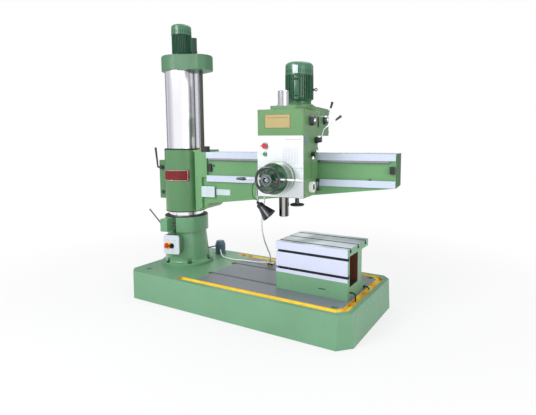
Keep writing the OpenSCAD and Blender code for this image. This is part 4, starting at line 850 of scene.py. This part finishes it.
# Plates of the arm: a dark red enamelled one bent round the sleeve, and two pale
# ones, held by rivets.
sleeve_radius = 204
# Two dark rubber bands round the sleeve, at its top and at its foot; the band at the foot is painted shade
# under the sleeve.
edge_rings = [turned([(sleeve_radius + 0.1, h), (sleeve_radius + 1.6, h + 0.8),
                      (sleeve_radius + 1.6, h + 5.2), (sleeve_radius + 0.1, h + 6)], (0, 0, 0), sides=96,
                     closed=True) for h in (830.5, 1464.5)]
piece("sleeve_edges", together(*edge_rings), wiper_rubber, "arm", arm=True)
enamel_red = moulded("plate_red", tint(112, 4, 8), 0.62, spread=0.06)
dress("sleeve_plate", enamel_red)
pale = moulded("plate_pale", tint(206, 222, 226), 0.35, metal=0.2, spread=0.04)
dress("arm_plates", pale)
plate_r = sleeve_radius + 3
low_rim = on_circle((0, 0), plate_r, [math.radians(a) for a in range(-148, -44, 4)], 1156)
rim_points = low_rim + [(x0, y0, 1258) for x0, y0, h in reversed(low_rim)]
plate_cream = moulded("plate_cream", tint(226, 202, 190), 0.4, spread=0.04)
piece("sleeve_plate_border", bent_bar(rim_points + rim_points[:1], 2.2, 6), plate_cream, "arm",
      arm=True)
sleeve_rivets = []
for a in (-147.6, -97, -45.4):
    out_u, out_v = math.cos(math.radians(a)), math.sin(math.radians(a))
    for h in (1161, 1253):
        sleeve_rivets.append(dome_screw((plate_r * out_u, plate_r * out_v, h), (out_u, out_v, 0), 3.4))
piece("sleeve_plate_rivets", together(*sleeve_rivets), bright_steel, "arm", arm=True)
front_rivets = [dome_screw((u0, -190, h), (0, -1, 0), 3) for u0 in (329, 464) for h in (1010, 1106)]
back_rivets = [dome_screw((u0, -167, h), (0, -1, 0), 3) for u0 in (480, 624) for h in (1033, 1078)]
piece("arm_plate_rivets", together(*front_rivets, *back_rivets), bright_steel, "arm",
      arm=True)
level_rules = [slab((336, -190.4, h), (457, -189.9, h + 1.4), 0.15) for h in (1030, 1050, 1070, 1090)]
upright_rule = slab((394, -190.4, 1014), (395.4, -189.9, 1102), 0.15)
rule_blue = moulded("rule_blue", tint(168, 186, 206), 0.5)
piece("arm_plate_rules", together(*level_rules, upright_rule), rule_blue, "arm", arm=True)

# Drill head: the gear box and the saddle in one casting, painted a brighter green,
# with a white enamelled front panel and plain riveted plates.
head_paint = iron_paint("head_paint", tint(97, 142, 90), 0.34, coat=0.2)
dress("head", head_paint)
dress("feed_housing", head_paint)
panel_white = moulded("panel_white", tint(236, 238, 244), 0.3, coat=0.3, spread=0.015)
dress("front_panel", panel_white)
panel_grey = moulded("panel_grey", tint(170, 174, 196), 0.5, spread=0.03)
panel_face = -578
chart_rows = [1373 + 127 * k / 8 for k in range(9)]
chart_columns = [1369, 1395, 1421, 1447, 1473, 1499]


def on_panel(left, low, right, high):
    """A thin mark that stands out of the panel by a third of a millimetre."""
    return slab((left, panel_face - 0.35, low), (right, panel_face + 0.1, high), 0.15)


chart = [on_panel(1369, h, 1499, h + 1.5) for h in chart_rows]
chart += [on_panel(c, 1373, c + 1.5, 1500) for c in chart_columns]
piece("panel_chart", together(*chart), panel_grey, "head", arm=True)
red_rule = [on_panel(u0, 1568, u0 + 14, 1573) for u0 in range(1392, 1526, 20)]
rule_red = moulded("rule_red", tint(222, 92, 104), 0.5)
piece("panel_red_rule", together(*red_rule), rule_red, "head", arm=True)
piece("panel_seam", on_panel(1143, 1338, 1543, 1340.5), panel_grey, "head", arm=True)
panel_screws = [dome_screw((u0, panel_face, h), (0, -1, 0), 4.5) for u0 in (1156, 1530)
                for h in (1112, 1325, 1352, 1586)]
piece("panel_screws", together(*panel_screws), bright_steel, "head", arm=True)
collars = [turned([(r, 0), (r + 7, 0), (r + 7, 1.6), (r + 5, 3), (r, 3)], (1211, panel_face, h), (0, -1, 0),
                  40, closed=True) for r, h in ((23, 1517), (15, 1449))]
piece("button_collars", together(*collars), bright_steel, "head", arm=True)
button_marks = together(on_panel(1163, 1511, 1178, 1523), on_panel(1166, 1445, 1176, 1453))
mark_pink = moulded("mark_pink", tint(232, 150, 158), 0.5)
piece("button_marks", button_marks, mark_pink, "head", arm=True)
brass_sheet = machined("plate_brass", tint(176, 160, 110), "x", 0.5, metal=0.2, spread=0.05)
dress("name_plate", brass_sheet)
plate_face = -577
plate_low, plate_high = (1211, 1662), (1431, 1770)
brown = moulded("plate_brown", tint(104, 72, 36), 0.5)
(left, low), (right, high) = plate_low, plate_high
edge_points = [(left, plate_face, low), (right, plate_face, low), (right, plate_face, high),
               (left, plate_face, high)]
edges = [bent_bar([a, b], 1.2, 6) for a, b in zip(edge_points, edge_points[1:] + edge_points[:1])]
head_rule = slab((1228, plate_face - 0.5, 1742), (1414, plate_face + 0.1, 1744.5), 0.2)
piece("name_plate_border", together(*edges, head_rule), brown, "head", arm=True)
name_rivets = [dome_screw((u0, plate_face, h), (0, -1, 0), 3.4) for u0 in (1218, 1424)
               for h in (1669, 1763)]
piece("name_plate_rivets", together(*name_rivets), bright_steel, "head", arm=True)
side_face = 1547
piece("side_plate", slab((side_face + 0.1, -552, 1530), (side_face + 1.6, -508, 1592), 0.4),
      moulded("plate_slate", tint(108, 130, 164), 0.4, spread=0.1), "head", arm=True)
piece("side_index", slab((side_face + 0.1, -222, 1676), (side_face + 9, -206, 1764), 1.5),
      moulded("index_black", tint(30, 42, 36), 0.4, coat=0.3), "head", arm=True)
scale_lines = [slab((side_face + 0.05, -374 - (20 if k % 5 else 34), h), (side_face + 0.6, -374, h + 2.4),
                    0.15) for k, h in enumerate(range(1250, 1420, 10))]
piece("side_scale", together(*scale_lines), moulded("scale_dark", tint(30, 56, 34), 0.5), "head",
      arm=True)
dress("sight_glass", moulded("ring_white", tint(250, 252, 248), 0.5, spread=0.03))
glass_v, glass_z = -408, 1172
pane = turned([(0, 0), (27.6, 0), (27.6, 11.6), (22, 13.4), (0, 14.4)], (1565.2, glass_v, glass_z),
              (1, 0, 0), 40)
pane_grey = moulded("pane_grey", tint(72, 78, 82), 0.12, coat=0.8, spread=0.3)
piece("sight_pane", pane, pane_grey, "head", arm=True)
ring_screws = [dome_screw((1577, glass_v + 37 * math.cos(a), glass_z + 37 * math.sin(a)), (1, 0, 0), 3.2)
               for a in (0.5, 1.55, 2.6, 3.64, 4.7, 5.74)]
piece("sight_screws", together(*ring_screws), bright_steel, "head", arm=True)
side_screws = [hex_bolt((side_face, v0, h), (1, 0, 0), 11, 6, False)
               for v0, h in ((-556, 1640), (-556, 1790), (92, 1640), (92, 1830), (-556, 1120))]
front_screws = [hex_bolt((u0, -575, h), (0, -1, 0), 9, 4, False) for u0 in (1152, 1534)
                for h in (1622, 1796)]
piece("head_screws", together(*side_screws, *front_screws), head_paint, "head", arm=True)
plugs = [turned([(0, 0), (12, 0), (12, 5), (9, 8), (0, 8)], (u0, 60, 1850), (0, 0, 1), 6)
         for u0 in (1180, 1510)]
piece("head_lifting_plugs", together(*plugs), bolt_steel, "head", arm=True)

# Main motor on its round seat: ribbed, with bolts, a small plate and a fan cover.
# The bright tube beside it covers the end of the spindle.
dress("main_motor", motor_paint)
dress("main_fan_cover", fan_paint)
dress("lifting_eye", bolt_steel)
dress("spindle_cover", machined("cover_steel", tint(196, 198, 202), "z", 0.16, spread=0.35, pitch=0.16))
motor_at = (1343, -135)
motor_r = 127
fan_r = motor_r * 0.985
piece("main_fan_trim", fan_grille(fan_r, (2131.3, 2248), motor_at), motor_paint, "head",
      arm=True)
piece("main_fan_slots", vent_shade_bars(fan_r, (2150, 2180), motor_at, 40), vent_shade_dark, "head",
      arm=True)
seat_places = on_circle(motor_at, 132, (-2.2, -1.2, -0.2, 0.9, 1.9, 2.9), 1868)
seat_bolts = [hex_bolt(at, (0, 0, 1), 17, 10) for at in seat_places]
piece("motor_bolts", together(*seat_bolts), bolt_steel, "head", arm=True)
fan_plate = slab((fan_r + 0.6, -24, 2142), (fan_r + 2.2, 24, 2212), 0.4)
piece("fan_cover_plate", turned_to(fan_plate, -85, (*motor_at, 0)), pale, "head", arm=True)
pads = [slab((motor_r * 0.9, -17, h), (motor_r + 5, 17, h + 26), 2) for h in (1915, 2096)]
pads.append(slab((motor_r * 0.9, -20, 1950), (motor_r + 3, 20, 2084), 2))
piece("motor_pads", turned_to(together(*pads), -80, (*motor_at, 0)), motor_paint, "head",
      arm=True)

# Work lamp: a ribbed steel gooseneck, screwed into the head's lower left corner,
# and on its end a bell shade of spun steel, lacquered black.
gooseneck = machined("gooseneck_steel", tint(170, 170, 176), "z", 0.25)
dress("lamp_arm", gooseneck)
neck_points = [Vector(p) for p in ((1136, -540.5, 1150), (1126, -544, 1148.6), (1119.5, -549, 1139),
                                   (1118, -553, 1126), (1120, -557.5, 1108), (1123, -559.4, 1096),
                                   (1126, -560, 1084), (1127.6, -560, 1072))]
fine_neck = [a.lerp(b, k / 6) for a, b in zip(neck_points, neck_points[1:]) for k in range(6)]
rib_radii = [6.9 if k % 2 else 6.0 for k in range(len(fine_neck))]
piece("lamp_neck_ribs", bent_bar(fine_neck, rib_radii, 14), gooseneck, "head", arm=True,
      crease=20)
dress("lamp_shade", moulded("shade_black", tint(9, 14, 28), 0.26, coat=0.3))

# Quill and spindle: the ground steel sleeve that feeds down out of the head, and in
# it the spindle on its bearings, with the taper socket in its nose.
quill_steel = machined("quill_steel", tint(186, 186, 182), "z", 0.14, spread=0.2, pitch=0.3)
quill_axis = in_metres([(1343, -500, 0)], True)[0]
# Painted reflections on the quill: dark upright bands, set where the camera sees them.
quill_painted_reflections = ((-0.036, 0.012, 0.05), (0.012, 0.014, 0.05), (0.042, 0.006, 0.04))
painted_reflection_bands(quill_steel, quill_axis, quill_painted_reflections)
dress("quill", quill_steel)
dress("spindle_bearings", bare_iron)
dress("spindle", machined("spindle_steel", tint(190, 192, 198), "round", 0.2))

# Feed: drum, graduated ring and two levers turn on one axis, with the handwheel of
# the arm travel in front of them.
drum_paint = iron_paint("drum_paint", tint(40, 88, 54), 0.2, coat=1.0)
drum_paint.node_tree.nodes["Principled BSDF"].inputs["Coat Roughness"].default_value = 0.04
dress("feed_hub", drum_paint)
dress("feed_dial", machined("dial_aluminium", tint(206, 214, 210), "round", 0.28))
dial_at, dial_front, dial_r = (1350, 1262), -661.5, 136.1
dial_ink = moulded("dial_ink", tint(30, 34, 34), 0.5)
ticks = []
for k in range(100):
    a = 2 * math.pi * k / 100
    long_tick = k % 10 == 0
    reach = 14 if long_tick else 10 if k % 5 == 0 else 6
    start = Vector((dial_at[0], dial_front, dial_at[1])) + Vector((math.cos(a), 0, math.sin(a))) * dial_r
    ticks.append(bent_bar([start, start + Vector((0, reach, 0))], 0.7 if long_tick else 0.5, 4))
piece("dial_marks", together(*ticks), dial_ink, "feed_hub", arm=True)
grip_end = 1.150
lever_finish = new_finish("lever_chrome", tint(222, 224, 230), 0.12, 1.0)
feed(lever_finish, "Roughness", spread_out(lever_finish, cloud(lever_finish, 30, 4), 0.09, 0.16))
u, v, z = where(lever_finish, arm_angle)
repaint(lever_finish, below(lever_finish, u, grip_end), tint(66, 70, 74), 0.3, 0.5)
dress("feed_levers", lever_finish)
dress("feed_pinion", bare_iron)
wheel_black = moulded("wheel_black", tint(24, 28, 34), 0.22, coat=0.7)
dress("handwheel", wheel_black)
wheel_at = (1350, -835, 1262)
hub_disc = turned([(31, 16), (44, 18), (46, 22), (44, 26), (31, 27)], wheel_at, (0, -1, 0), 48, closed=True)
hub_ring = turned([(22, 16), (27, 17), (27, 33), (22, 34)], wheel_at, (0, -1, 0), 48, closed=True)
hub_grey = machined("hub_grey", tint(120, 126, 132), "round", 0.25, metal=0.8)
piece("handwheel_hub", together(hub_disc, hub_ring), hub_grey, "handwheel", arm=True)
spokes = []
for a in (105, 225, 345):
    way = Vector((math.cos(math.radians(a)), 0, math.sin(math.radians(a))))
    flat = Vector((-way.z, 0, way.x)) * 6
    points = [Vector(wheel_at) + way * r for r in (30, 45, 60, 75, 88)]
    for off in (flat, -flat):
        spokes.append(bent_bar([p + off for p in points], [7, 6, 5, 5, 6.5], 12))
piece("handwheel_spokes", together(*spokes), wheel_black, "handwheel", arm=True)
wheel_nut = hex_bolt((wheel_at[0], wheel_at[1] - 16, wheel_at[2]), (0, -1, 0), 22, 12)
piece("handwheel_nut", wheel_nut, bright_steel, "handwheel", arm=True)
dress("rack_pinion", bare_iron)
dress("fine_feed_wheel", moulded("wheel_grey", tint(50, 54, 56), 0.25, metal=0.3, coat=0.3))

# Push buttons and the levers on the right side: black moulded grips and knobs with
# bright caps, on chromed rods.
dress("stop_button", moulded("stop_red", tint(192, 36, 44), 0.3, coat=0.5))
dress("start_button", moulded("start_green", tint(28, 140, 66), 0.3, coat=0.5))


def control_black(name):
    """Black moulding of one control, with its u, v and z and the spot on it."""
    mat = moulded(name, tint(26, 28, 34), 0.25, coat=0.5)
    return mat, where(mat, arm_angle), spot_on(mat, arm_angle)


def chromed(mat, share):
    """The same moulding, with bright chrome where share is 1."""
    repaint(mat, share, tint(226, 230, 236), 0.12, 1.0)
    return mat


knob_cap = 1.5845
boss_centre, boss_reach, rod_low, rod_high = (1.577, -0.033, 1.746), 0.0185, 1.770, 1.850
gear_rod_low, gear_rod_end = 1.592, 1.724
front_ball, back_ball = -0.412, -0.340
black, (u, v, z), spot = control_black("speed_knob_black")
dress("speed_knob", chromed(black, above(black, u, knob_cap)))
black, (u, v, z), spot = control_black("speed_lever_black")
lever_boss = within(black, spot, boss_centre, boss_reach)
lever_rod = both(black, above(black, z, rod_low), below(black, z, rod_high))
dress("speed_lever", chromed(black, either(black, lever_boss, lever_rod)))
black, (u, v, z), spot = control_black("gear_lever_black")
gear_rod = both(black, above(black, z, gear_rod_low), below(black, u, gear_rod_end))
dress("gear_lever", chromed(black, gear_rod))
black, (u, v, z), spot = control_black("selector_black")
both_balls = either(black, above(black, v, back_ball), below(black, v, front_ball))
dress("selector_lever", chromed(black, both_balls))
dress("head_clamp_lever", wheel_black)
